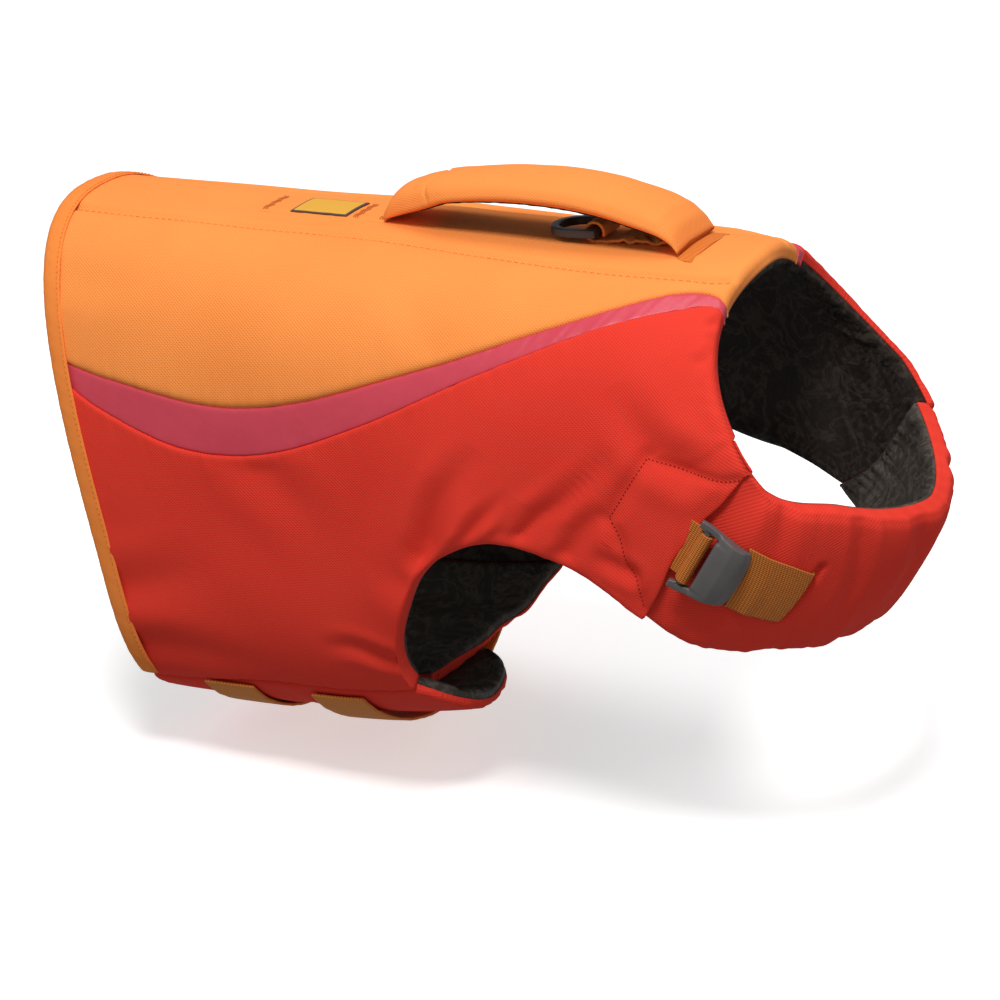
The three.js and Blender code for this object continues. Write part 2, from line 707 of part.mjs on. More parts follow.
// The short webbing passes from the sleeve mouth over the buckle's rear bar and back under it
function neckWebShort() {
  const rear = -neckBuckle.long / 2;
  const front = rear + neckBuckle.barThick;
  const upper = [[rear - 0.6, 3.9], [front + 0.6, 3.9], [front + 1.2, 2.1], [front + 0.5, 0.35],
    [rear - 0.6, 0.35]];
  const around = [[rear - 1.6, 5.1], [front + 1, 5.3], [front + 2.6, 3.6], [front + 2.6, 1],
    [front + 1, -0.7], [rear - 2.6, -0.7], [rear - 4.2, 0.4], [rear - 3.6, 2.6]];
  const profile = around.slice().reverse();
  return acrossFrom(profile, webbingWide - 1, 0, [upper]).applyMatrix4(neckFrame());
}

function neckWebLong() {
  const steps = 6;
  const layer = (out) => {
    const grid = [];
    for (let k = 0; k <= steps; k += 1) {
      const row = neckWeb(mix(neckWebFrom, 1, k / steps));
      grid.push([0, 0.33, 0.67, 1].map((f) => cloth(
        mix(row.topAt, row.lowAt, f),
        -mix(row.topShare, row.lowShare, f),
        out,
      )));
    }
    return grid;
  };
  const under = 1.6 + seamGap;
  return wall(layer(under + webbingThick), layer(under));
}

// A webbing strip round the body, centred on a ring, from one share to another
function girthStrip(ring, from, to, steps, outOf) {
  const places = [];
  for (let k = 0; k <= steps; k += 1) {
    const f = k / steps;
    const at = ring + strapRun.lean * Math.sin(Math.PI * f);
    const share = mix(from, to, f);
    places.push([-1, 0, 1].map((side) => ({ at: at + side * strapRun.half, share, f })));
  }
  const outer = places.map((row) => row.map((p) => cloth(p.at, p.share, outOf(p) + webbingThick)));
  const inner = places.map((row) => row.map((p) => cloth(p.at, p.share, outOf(p))));
  return wall(outer, inner);
}

function bellyStrap({ ring, sag }) {
  const { from, to, steps } = strapRun;
  return girthStrip(ring, -from, -to, steps, ({ f }) => (
    puff + seamGap + sag * Math.sin(Math.PI * Math.min(f * 1.15, 1)) ** 2));
}

function bellyAnchor({ ring }) {
  const lift = puff + seamGap + 0.2;
  return girthStrip(ring, anchorRun.from, anchorRun.to, 3, () => lift);
}

// A closed side-release buckle between the strap and its anchor
function bellyBuckleBody({ ring }) {
  const { from, to, wide, thick, bevel } = bellyBuckle;
  const middle = (from + to) / 2;
  const low = skin(ring, from - 0.002);
  const high = skin(ring, to + 0.002);
  const along = high.clone().sub(low);
  const long = along.length();
  const out = outward(ring, middle);
  along.addScaledVector(out, -along.dot(out)).normalize();
  const across = along.clone().cross(out).normalize();
  const half = long / 2 - 0.6;
  const waist = wide / 2 - 3;
  const outline = [[-half, -waist], [-half * 0.2, -wide / 2], [half * 0.35, -waist],
    [half, -waist], [half, waist], [half * 0.35, waist], [-half * 0.2, wide / 2], [-half, waist]];
  const shape = new THREE.Shape(outline.map(([x, y]) => new THREE.Vector2(x, y)));
  const geometry = new THREE.ExtrudeGeometry(shape, {
    depth: thick - 2 * bevel, bevelEnabled: true, bevelThickness: bevel, bevelSize: bevel,
    bevelOffset: -bevel, bevelSegments: 1,
  });
  const place = low.add(high).multiplyScalar(0.5);
  const reach = skin(ring, middle).sub(place).dot(out);
  place.addScaledVector(out, reach + puff + seamGap + bevel);
  return geometry.applyMatrix4(new THREE.Matrix4().makeBasis(along, across.negate(), out)
    .setPosition(place));
}

// The assembly
const lifeJacket = new THREE.Group();
function addPiece(name, finish, geometry) {
  const mesh = new THREE.Mesh(geometry, new THREE.MeshStandardMaterial(finishes[finish]));
  mesh.name = name;
  lifeJacket.add(mesh);
}

addPiece("back_panel", "orange", backWall());
addPiece("trim_right", "pink", trimWall(-1));
addPiece("trim_left", "pink", trimWall(1));
addPiece("side_right", "red", sideWall(-1));
addPiece("side_left", "red", sideWall(1));
addPiece("lining_body", "dark", bodyLining());
addPiece("chest_band", "red", bandWall());
addPiece("lining_band", "dark", bandLining());
for (const [name, side] of [["right", -1], ["left", 1]]) {
  const places = flapPlaces(side);
  addPiece(`belly_${name}`, "red", sheetWall(places, (p) => p.out, (p) => p.inner));
  addPiece(`lining_belly_${name}`, "dark", liningWall(places));
}
addPiece("hem_binding", "orange", hemBinding());
addPiece("handle_grip", "orange", handleGrip());
addPiece("handle_underside", "dark", handleUnderside());
addPiece("handle_anchor", "orange", spineStrip(anchor.fromX, anchor.toX, anchor.wide, seamGap, 2, 2));
addPiece(
  "spine_strap",
  "orange",
  spineStrip(spineStrap.fromX, spineStrap.toX, spineStrap.wide, seamGap, webbingThick, 5),
);
addPiece(
  "label",
  "plain",
  spineStrip(label.fromX, label.toX, label.wide, 2 * seamGap + webbingThick, liningThick, 2),
);
addPiece("leash_ring", "plastic", leashRing());
addPiece("ring_tab", "orange", ringTab());
addPiece("neck_buckle", "plastic", neckBuckleBody());
addPiece("neck_web_short", "webbing", neckWebShort());
addPiece("neck_web_long", "webbing", neckWebLong());
for (const strap of bellyStraps) {
  addPiece(`belly_strap_${strap.name}`, "webbing", bellyStrap(strap));
  addPiece(`belly_anchor_${strap.name}`, "webbing", bellyAnchor(strap));
  addPiece(`belly_buckle_${strap.name}`, "plastic", bellyBuckleBody(strap));
}

export default lifeJacket;
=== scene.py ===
import math
import bmesh
import bpy
import numpy as np
from mathutils import Matrix, Vector


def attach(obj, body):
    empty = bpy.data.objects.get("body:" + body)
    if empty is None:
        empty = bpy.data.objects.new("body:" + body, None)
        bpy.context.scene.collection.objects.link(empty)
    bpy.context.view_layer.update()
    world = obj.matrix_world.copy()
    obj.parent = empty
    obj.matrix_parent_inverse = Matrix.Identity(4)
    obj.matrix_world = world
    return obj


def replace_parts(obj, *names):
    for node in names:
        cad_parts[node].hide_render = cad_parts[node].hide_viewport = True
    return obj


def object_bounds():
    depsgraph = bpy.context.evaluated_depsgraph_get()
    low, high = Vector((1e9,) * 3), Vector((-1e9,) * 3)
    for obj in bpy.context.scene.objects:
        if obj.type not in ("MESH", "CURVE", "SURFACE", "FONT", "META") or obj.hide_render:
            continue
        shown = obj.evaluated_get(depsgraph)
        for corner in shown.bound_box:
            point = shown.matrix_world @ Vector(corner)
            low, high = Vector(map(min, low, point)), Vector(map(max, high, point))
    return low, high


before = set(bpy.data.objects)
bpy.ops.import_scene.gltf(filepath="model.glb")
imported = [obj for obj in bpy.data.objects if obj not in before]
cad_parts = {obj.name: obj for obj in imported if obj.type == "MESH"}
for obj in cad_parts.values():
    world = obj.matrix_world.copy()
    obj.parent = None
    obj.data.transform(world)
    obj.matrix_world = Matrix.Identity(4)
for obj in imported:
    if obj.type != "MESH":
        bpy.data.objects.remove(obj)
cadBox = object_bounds()
mm = 0.001
print("frame loaded")


def addObject(name, data):
    thing = bpy.data.objects.new(name, data)
    bpy.context.scene.collection.objects.link(thing)
    return thing


# Camera: where the picture's origin lies and how large a millimetre is there
cameraView = dict(azimuth=25, elevation=21, distance=1.7, pixels=1000, pixelsPerMm=2.13, origin=(555, 255), sensor=36)


def addCamera(view):
    turn, rise = math.radians(view["azimuth"]), math.radians(view["elevation"])
    right = Vector((math.cos(turn), math.sin(turn), 0))
    back = Vector((math.sin(turn) * math.cos(rise), -math.cos(turn) * math.cos(rise), math.sin(rise)))
    up = back.cross(right)
    across = (view["origin"][0] - view["pixels"] / 2) / view["pixelsPerMm"] * mm
    above = (view["pixels"] / 2 - view["origin"][1]) / view["pixelsPerMm"] * mm
    camera = addObject("camera", bpy.data.cameras.new("camera"))
    camera.data.sensor_width = view["sensor"]
    camera.data.lens = view["sensor"] * view["pixelsPerMm"] * view["distance"]
    camera.matrix_world = Matrix((right, up, back)).transposed().to_4x4()
    camera.location = back * view["distance"] - right * across - up * above
    bpy.context.scene.camera = camera


addCamera(cameraView)

# Studio: each light's place, size, strength and colour
lights = [
    ("keyLight", (0.25, -1.1, 1.95), 0.6, 38, (1, 0.985, 0.965)),
    ("fillLight", (-1.3, -1.2, 0.8), 1.4, 2.0, (0.97, 0.985, 1)),
    ("topLight", (0.1, 0.3, 1.7), 0.9, 9, (1, 1, 1)),
    ("frontLight", (1.6, -0.2, 0.7), 0.9, 2.0, (1, 1, 1)),
]
lightTarget = Vector((-0.03, 0, -0.11))
roomLight = 0.32


def addLight(name, place, size, power, colour):
    light = addObject(name, bpy.data.lights.new(name, "AREA"))
    light.data.size = size
    light.data.energy = power
    light.data.color = colour
    light.location = place
    light.rotation_euler = (lightTarget - Vector(place)).to_track_quat("-Z", "Y").to_euler()


# A weak white room, seen as plain white behind the jacket
def addRoom():
    room = bpy.data.worlds.new("room")
    bpy.context.scene.world = room
    room.use_nodes = True
    nodes, links = room.node_tree.nodes, room.node_tree.links
    glow, backdrop = nodes["Background"], nodes.new("ShaderNodeBackground")
    glow.inputs["Strength"].default_value = roomLight
    for background in (glow, backdrop):
        background.inputs["Color"].default_value = (1, 1, 1, 1)
    seen, either = nodes.new("ShaderNodeLightPath"), nodes.new("ShaderNodeMixShader")
    links.new(seen.outputs["Is Camera Ray"], either.inputs[0])
    links.new(glow.outputs[0], either.inputs[1])
    links.new(backdrop.outputs[0], either.inputs[2])
    links.new(either.outputs[0], nodes["World Output"].inputs[0])


for light in lights:
    addLight(*light)
addRoom()
bpy.context.scene.view_settings.view_transform = "Standard"


# Materials: every one is built from the same few steps
def newMaterial(name, colour, roughness, **sockets):
    material = bpy.data.materials.new(name)
    material.use_nodes = True
    shader = material.node_tree.nodes["Principled BSDF"]
    shader.inputs["Base Color"].default_value = (*colour, 1)
    shader.inputs["Roughness"].default_value = roughness
    for socket, value in sockets.items():
        shader.inputs[socket.replace("_", " ")].default_value = value
    return material, shader


def addNode(material, kind, **values):
    node = material.node_tree.nodes.new(kind)
    for key, value in values.items():
        if hasattr(node, key):
            setattr(node, key, value)
        else:
            node.inputs[key.replace("_", " ")].default_value = value
    return node


def join(material, fromSocket, toSocket):
    material.node_tree.links.new(fromSocket, toSocket)


def calc(material, operation, first, second=0.0, third=None):
    node = addNode(material, "ShaderNodeMath", operation=operation)
    for socket, value in zip(node.inputs, (first, second, third)):
        if isinstance(value, (int, float)):
            socket.default_value = value
        elif value is not None:
            join(material, value, socket)
    return node.outputs[0]


def times(material, first, second):
    return calc(material, "MULTIPLY", first, second)


def cutCoordinates(material, angle=0.0):
    uv = addNode(material, "ShaderNodeUVMap", uv_map="cut")
    turned = addNode(material, "ShaderNodeMapping")
    turned.inputs["Rotation"].default_value = (0, 0, math.radians(angle))
    join(material, uv.outputs[0], turned.inputs[0])
    parts = addNode(material, "ShaderNodeSeparateXYZ")
    join(material, turned.outputs[0], parts.inputs[0])
    return parts.outputs[0], parts.outputs[1]


def ripple(material, coordinate, period):
    return calc(material, "SINE", times(material, coordinate, 2 * math.pi / period))


def cloudy(material, scale, detail=3.0):
    place = addNode(material, "ShaderNodeTexCoord")
    noise = addNode(material, "ShaderNodeTexNoise", Scale=scale, Detail=detail)
    join(material, place.outputs["Object"], noise.inputs["Vector"])
    return noise.outputs[0]


def tint(material, shader, amount, light, dark):
    blend = addNode(material, "ShaderNodeMix", data_type="RGBA")
    join(material, amount, blend.inputs[0])
    blend.inputs[6].default_value = (*dark, 1)
    blend.inputs[7].default_value = (*light, 1)
    join(material, blend.outputs[2], shader.inputs["Base Color"])


def emboss(material, shader, height, distance):
    bump = addNode(material, "ShaderNodeBump", Distance=distance, Strength=1.0)
    join(material, height, bump.inputs["Height"])
    join(material, bump.outputs[0], shader.inputs["Normal"])


def wovenCloth(name, light, dark, thread=1.15 * mm, depth=0.08 * mm, slant=52):
    material, shader = newMaterial(name, light, 0.85, Specular_IOR_Level=0.14)
    across, along = cutCoordinates(material, slant)
    rows, broken = ripple(material, across, thread), ripple(material, along, thread * 1.1)
    weave = calc(material, "ADD", times(material, rows, 0.6),
                 times(material, times(material, rows, broken), 0.5))
    fibre = times(material, cloudy(material, 900, 2), 0.6)
    height = calc(material, "ADD", weave, fibre)
    emboss(material, shader, height, depth)
    # Colour: lighter on the threads' tops and darker in the weave's dips, which is painted shade, plus a random
    # patchy tone
    patchy = calc(material, "MULTIPLY_ADD", cloudy(material, 14), 0.5, 0.35)
    tint(material, shader, calc(material, "MULTIPLY_ADD", weave, 0.24, patchy), light, dark)
    return material


def satinTrim(name, light, dark):
    material, shader = newMaterial(name, light, 0.36, Specular_IOR_Level=0.4)
    across, along = cutCoordinates(material)
    threads = times(material, ripple(material, along, 0.6 * mm), ripple(material, across, 0.6 * mm))
    height = calc(material, "ADD", times(material, threads, 0.1),
                  times(material, cloudy(material, 45), 8))
    emboss(material, shader, height, 0.12 * mm)
    tint(material, shader, cloudy(material, 20), light, dark)
    return material


def liningCloth(name, light, dark):
    material, shader = newMaterial(name, light, 0.5, Specular_IOR_Level=0.22)
    across, along = cutCoordinates(material)
    weave = times(material, ripple(material, across, 0.5 * mm), ripple(material, along, 0.5 * mm))
    crinkle = addNode(material, "ShaderNodeTexNoise", Scale=55, Detail=5, Roughness=0.62, Distortion=1.4)
    place = addNode(material, "ShaderNodeTexCoord")
    join(material, place.outputs["Object"], crinkle.inputs["Vector"])
    height = calc(material, "ADD", times(material, weave, 0.05), crinkle.outputs[0])
    emboss(material, shader, height, 1.6 * mm)
    ridge = calc(material, "SUBTRACT", crinkle.outputs[0], 0.5)
    ridge = calc(material, "SUBTRACT", 1.0, times(material, calc(material, "ABSOLUTE", ridge), 16))
    tint(material, shader, calc(material, "MAXIMUM", times(material, ridge, 0.8), 0.12), light, dark)
    return material


def ribbedWebbing(name, light, dark, rib=1.75 * mm, pick=0.95 * mm, depth=0.22 * mm):
    material, shader = newMaterial(name, light, 0.65, Sheen_Weight=0.03, Specular_IOR_Level=0.3)
    along, across = cutCoordinates(material)
    ribs = calc(material, "ABSOLUTE", ripple(material, across, rib * 2))
    picks = times(material, ripple(material, along, pick), 0.45)
    height = calc(material, "ADD", ribs, picks)
    emboss(material, shader, height, depth)
    # Colour follows the rib height, darker in the grooves between the ribs: painted shade
    tint(material, shader, calc(material, "MULTIPLY_ADD", height, 0.55, 0.15), light, dark)
    return material


def mouldedPlastic(name, light, dark, roughness=0.4):
    material, shader = newMaterial(name, light, roughness, Specular_IOR_Level=0.5)
    emboss(material, shader, cloudy(material, 1600, 2), 0.04 * mm)
    tint(material, shader, cloudy(material, 90), light, dark)
    rough = calc(material, "MULTIPLY_ADD", cloudy(material, 160), 0.18, roughness - 0.09)
    join(material, rough, shader.inputs["Roughness"])
    return material


def threadMaterial(name, light, dark):
    material, shader = newMaterial(name, light, 0.6, Specular_IOR_Level=0.2)
    emboss(material, shader, cloudy(material, 2500, 1), 0.08 * mm)
    tint(material, shader, cloudy(material, 300), light, dark)
    return material


def denseStitching(name, light, dark):
    material, shader = newMaterial(name, light, 0.7, Specular_IOR_Level=0.15)
    along, across = cutCoordinates(material, 8)
    rows = calc(material, "ABSOLUTE", ripple(material, across, 1.6 * mm))
    broken = times(material, ripple(material, along, 2.6 * mm), 0.3)
    height = calc(material, "ADD", rows, broken)
    emboss(material, shader, height, 0.15 * mm)
    # Colour follows the stitch height, darker between the rows: painted shade in the grooves
    tint(material, shader, height, light, dark)
    return material


orange = wovenCloth("orangeCloth", (0.98, 0.34, 0.085), (0.80, 0.20, 0.035))
orangeTape = wovenCloth("orangeTape", (0.93, 0.29, 0.06), (0.78, 0.19, 0.03), thread=0.8 * mm)
red = wovenCloth("redCloth", (0.84, 0.058, 0.034), (0.60, 0.018, 0.010))
pink = satinTrim("pinkTrim", (0.66, 0.065, 0.10), (0.55, 0.042, 0.07))
lining = liningCloth("darkLining", (0.075, 0.056, 0.043), (0.017, 0.011, 0.008))
# A paler copy of the dark lining for the flap and band linings: the same cloth, with painted sheen in its colour
litLiningCopy = liningCloth("edgeLiningPaintedSheen", (0.13, 0.11, 0.09), (0.042, 0.033, 0.026))
webbing = ribbedWebbing("ochreWebbing", (0.72, 0.22, 0.024), (0.27, 0.062, 0.005), rib=1.4 * mm, pick=0.9 * mm)
orangeWebbing = ribbedWebbing("orangeWebbing", (0.86, 0.30, 0.04), (0.5, 0.13, 0.012))
bucklePlastic = mouldedPlastic("bucklePlastic", (0.115, 0.106, 0.106), (0.085, 0.078, 0.078))
ringPlastic = mouldedPlastic("ringPlastic", (0.05, 0.056, 0.064), (0.032, 0.036, 0.042))
orangeThread = threadMaterial("orangeThread", (0.88, 0.27, 0.055), (0.72, 0.19, 0.03))
darkOrangeThread = threadMaterial("darkOrangeThread", (0.62, 0.16, 0.025), (0.48, 0.11, 0.015))
# Very dark red thread: the stitches are real, their darkness partly painted shade for the needle holes
redThread = threadMaterial("redThread", (0.24, 0.008, 0.005), (0.16, 0.005, 0.003))
bartack = denseStitching("bartackThread", (0.74, 0.205, 0.034), (0.58, 0.145, 0.02))
print("materials made")


# A smooth curve through the rows of a table, read by its first column
def curveThrough(rows):
    knots = np.array(rows, dtype=float)
    last = len(knots) - 1
    before = np.maximum(np.arange(last + 1) - 1, 0)
    after = np.minimum(np.arange(last + 1) + 1, last)
    slopes = (knots[after] - knots[before]) / (knots[after, :1] - knots[before, :1])

    def read(at):
        at = np.asarray(at, dtype=float)
        row = np.clip(np.searchsorted(knots[:, 0], at) - 1, 0, last - 1)
        span = (knots[row + 1, 0] - knots[row, 0])[..., None]
        f = np.clip((at - knots[row, 0])[..., None] / span, 0, 1)
        rise = knots[row + 1] - knots[row]
        m0, m1 = slopes[row] * span, slopes[row + 1] * span
        value = knots[row] + m0 * f + (3 * rise - 2 * m0 - m1) * f ** 2 + (m0 + m1 - 2 * rise) * f ** 3
        return np.moveaxis(value[..., 1:], -1, 0)

    return read


def mix(a, b, f):
    return a + (b - a) * f


def smoothStep(start, end, at):
    f = np.clip((at - start) / (end - start), 0, 1)
    return f * f * (3 - 2 * f)


# Places along a path of a few points, evenly in number between its ends
def pathPlaces(path, samples):
    knots = [(step, *spot) for step, spot in zip(np.linspace(0, 1, len(path)), path)]
    return curveThrough(knots)(np.linspace(0, 1, samples))


def runAlong(line):
    return np.concatenate([[0], np.cumsum(np.linalg.norm(np.diff(line, axis=0), axis=1))])


# The jacket's form, as in the CAD part: rings round the chest, 0 at the hem to 6 at the neck, and
# a share of the half girth, 0 at the spine, 1 at the belly, minus on the right
rings = curveThrough([
    # ring, topX, topZ, lowX, lowZ, half, widest, boxTop, boxLow, bow
    (0, -255, 4.7, -181, -237.3, 97, 0.65, 2.4, 2.9, 10),
    (1, -162, 5.2, -118, -235.3, 101, 0.6, 2.85, 2.75, 6),
    (2, -76, 8.2, -53, -229.3, 104.5, 0.58, 2.95, 2.65, 2),
    (3, 4, 9.7, 30, -211.3, 106, 0.6, 2.85, 2.3, 0),
    (4, 63, 12.7, 112, -197.3, 104, 0.58, 2.85, 2.15, -5),
    (5, 94, 14.2, 165, -156.3, 99, 0.6, 2.35, 1.95, -13),
    (6, 105, 17.7, 199, -96.3, 95, 0.66, 1.8, 1.65, -26),
])
formSteps = dict(perRing=100, perShare=400, angles=361)


def buildForm():
    ats = np.linspace(0, 6, 6 * formSteps["perRing"] + 1)
    topX, topZ, lowX, lowZ, half, widest, boxTop, boxLow, bow = (column[:, None] for column in rings(ats))
    angle = np.linspace(0, math.pi, formSteps["angles"])[None, :]
    upper = angle < math.pi / 2
    power = 2 / np.where(upper, boxTop, boxLow)
    drop = np.abs(np.cos(angle)) ** power
    down = np.where(upper, widest * (1 - drop), widest + (1 - widest) * drop)
    x = mix(topX, lowX, down) + bow * 4 * down * (1 - down)
    y = half * np.abs(np.sin(angle)) ** power
    ringPoints = np.stack([x, y, mix(topZ, lowZ, down)], -1)
    steps = np.linalg.norm(np.diff(ringPoints, axis=1), axis=-1)
    runs = np.concatenate([np.zeros((len(ats), 1)), np.cumsum(steps, axis=1)], axis=1)
    shares = np.linspace(0, 1, formSteps["perShare"] + 1)
    leftHalf = np.empty((len(ats), len(shares), 3))
    for row in range(len(ats)):
        for axis in range(3):
            leftHalf[row, :, axis] = np.interp(shares * runs[row, -1], runs[row], ringPoints[row, :, axis])
    rightHalf = leftHalf[:, 1:-1][:, ::-1] * (1, -1, 1)
    points = np.concatenate([leftHalf, rightHalf], axis=1)
    normals = np.cross(np.gradient(points, axis=0), np.roll(points, -1, 1) - np.roll(points, 1, 1))
    return points, normals / np.linalg.norm(normals, axis=-1, keepdims=True), runs[:, -1]


formPoints, formNormals, formGirths = buildForm()


def onForm(at, share, out=0.0):
    at, share, out = np.broadcast_arrays(at, share, out)
    row = np.clip(at, 0, 6) * formSteps["perRing"]
    column = (share % 2) * formSteps["perShare"]
    i = np.minimum(row.astype(int), len(formPoints) - 2)
    j = np.floor(column).astype(int) % formPoints.shape[1]
    k = (j + 1) % formPoints.shape[1]
    fi, fj = (row - i)[..., None], (column - np.floor(column))[..., None]

    def between(grid):
        return mix(mix(grid[i, j], grid[i, k], fj), mix(grid[i + 1, j], grid[i + 1, k], fj), fi)

    normal = between(formNormals)
    normal = normal / np.linalg.norm(normal, axis=-1, keepdims=True)
    return (between(formPoints) + normal * out[..., None]) * mm


# The form's surface, and the way out of it at each place
def formAt(at, share):
    flat = onForm(at, share)
    return flat, onForm(at, share, 1.0) - flat


# Rings from start to end, evenly far apart along the jacket
def evenRings(f, start=0.03, end=6, share=0.45):
    ats = np.linspace(0, 6, 301)
    run = runAlong(onForm(ats, share))
    samples = np.linspace(0, 1, 200)
    return mix(start, end, np.interp(f, samples, np.interp(samples * run[-1], run, ats) / 6))


# The lines that the panels are cut along, as in the CAD part
channelLine = curveThrough([(0, 0.083), (1.2, 0.084), (2.2, 0.089), (3.1, 0.108), (4, 0.116), (6, 0.118)])
trimTop = curveThrough([(0, 0.313), (0.4, 0.335), (1.14, 0.358), (1.79, 0.342), (2.55, 0.292),
                        (3.34, 0.229), (4.28, 0.163), (4.8, 0.149), (5.3, 0.16), (6, 0.187)])
trimLow = curveThrough([(0, 0.333), (0.31, 0.375), (0.87, 0.416), (1.5, 0.412), (2.19, 0.366),
                        (2.93, 0.292), (3.85, 0.219), (4.92, 0.179), (5.5, 0.188), (6, 0.207)])
bellySeam = curveThrough([(0, 0, 0.78), (0.6, 0.6, 0.764), (1.1, 1.13, 0.749), (1.6, 1.8, 0.746),
                          (2, 2.3, 0.742)])
leftLegFront = curveThrough([(3.1, 3.06, 0.514), (3.3, 3.3, 0.524), (3.55, 3.6, 0.547), (3.8, 3.9, 0.567)])
legEdge = curveThrough([(2, 2.3, 0.742), (2.12, 2.28, 0.7), (2.26, 2.3, 0.655), (2.4, 2.38, 0.605),
                        (2.52, 2.47, 0.565), (2.66, 2.62, 0.535), (2.88, 2.86, 0.514), (3.1, 3.06, 0.514),
                        (3.3, 3.3, 0.526), (3.55, 3.62, 0.556), (3.8, 3.96, 0.615)])
sleeveMouth = curveThrough([(3.8, 3.96, 0.615), (4.05, 4.18, 0.579), (4.3, 4.4, 0.543), (4.9, 4.86, 0.511),
                            (5.4, 5.25, 0.506), (6, 5.89, 0.509)])
leftShoulder = curveThrough([(3.8, 3.9, 0.567), (4.1, 4.18, 0.6), (4.5, 4.5, 0.646)])
bandJoint = curveThrough([(4.5, 4.5, 0.646), (5, 4.98, 0.652), (5.5, 5.47, 0.657), (6, 6, 0.66)])


def lowEdge(topAt, side):
    leg, front = legEdge(topAt), sleeveMouth(topAt)
    if side > 0:
        leg = np.where(topAt <= 3.1, leg, leftLegFront(topAt))
        front = np.where(topAt <= 4.5, leftShoulder(topAt), bandJoint(topAt))
    return np.where(topAt <= 2, bellySeam(topAt), np.where(topAt <= 3.8, leg, front))


# A run over a piece: its face from 0 to 1, and rows at both ends that turn in over the edge
def edgeRun(steps, turned):
    face = np.linspace(0, 1, steps - 2 * turned + 1)
    turn = np.arange(turned, 0, -1) / max(turned, 1)
    run = np.concatenate([np.zeros(turned), face, np.ones(turned)])
    tuck = np.concatenate([turn, np.zeros(len(face)), turn[::-1]])
    return run, tuck


# The two runs of a piece, and how far each point turns in over the edge
def edgeRuns(steps, turned, startTurns=True):
    along, tuckAlong = edgeRun(steps[0], turned)
    down, tuckDown = edgeRun(steps[1], turned)
    if not startTurns:
        tuckAlong = tuckAlong * (along > 0.5)
    return along, down, np.maximum(tuckAlong[:, None], tuckDown[None, :])


def runsOf(points):
    sizes = []
    for axis in (0, 1):
        steps = np.linalg.norm(np.diff(points, axis=axis), axis=-1)
        start = np.zeros_like(steps[:1] if axis == 0 else steps[:, :1])
        sizes.append(np.concatenate([start, np.cumsum(steps, axis=axis)], axis=axis))
    return sizes


def edgeDistance(points):
    along, across = runsOf(points)
    return (along, along[-1:] - along, across, across[:, -1:] - across)


# How far a padded face drops towards an edge that is `away` metres off
def roundedEdge(away, radius, drop):
    f = np.clip(1 - away / (radius * mm), 0, 1)
    return -drop * (1 - np.sqrt(1 - f ** 2 + 1e-9))


# Soft troughs with a low ridge beside them, strongest where they start
def creaseDepth(points, creases):
    total = np.zeros(points.shape[:2])
    t = np.linspace(0, 1, 28)
    for width, depth, path in creases:
        away = np.linalg.norm(points[:, :, None] - onForm(*pathPlaces(path, len(t))), axis=-1)
        near = away.argmin(axis=-1)
        away = away.min(axis=-1) / (width * mm)
        fade = np.interp(t[near], [0, 0.12, 0.5, 1], [0.8, 1, 0.72, 0])
        total += depth * fade * (0.4 * np.exp(-((away - 2.1) / 0.9) ** 2) - np.exp(-away ** 2))
    return total


# Uneven small waves along a run, for puckers beside a seam
def wavy(run, seed, lengths=(6.5, 9.7, 14.9, 23.3)):
    rng = np.random.default_rng(seed)
    total = np.zeros_like(run)
    for length in lengths:
        total += np.sin(run / mm * 2 * math.pi / length + rng.uniform(0, 6.3)) / len(lengths)
    return total


# Slow uneven swells over a whole piece
def swell(points, seed, size=70.0, count=7):
    rng = np.random.default_rng(seed)
    total = np.zeros(points.shape[:2])
    for wave in range(count):
        direction = rng.normal(size=3)
        direction /= np.linalg.norm(direction) * size * rng.uniform(0.6, 1.6)
        total += np.sin(points @ (direction / mm) * 2 * math.pi + rng.uniform(0, 6.3)) / count
    return total


def smoothInto(mesh, bm):
    for face in bm.faces:
        face.smooth = True
    bm.to_mesh(mesh)
    bm.free()


def dress(name, mesh, material, body="jacket"):
    mesh.name = name
    mesh.materials.clear()
    mesh.materials.append(material)
    piece = addObject(name, mesh)
    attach(piece, body)
    return piece


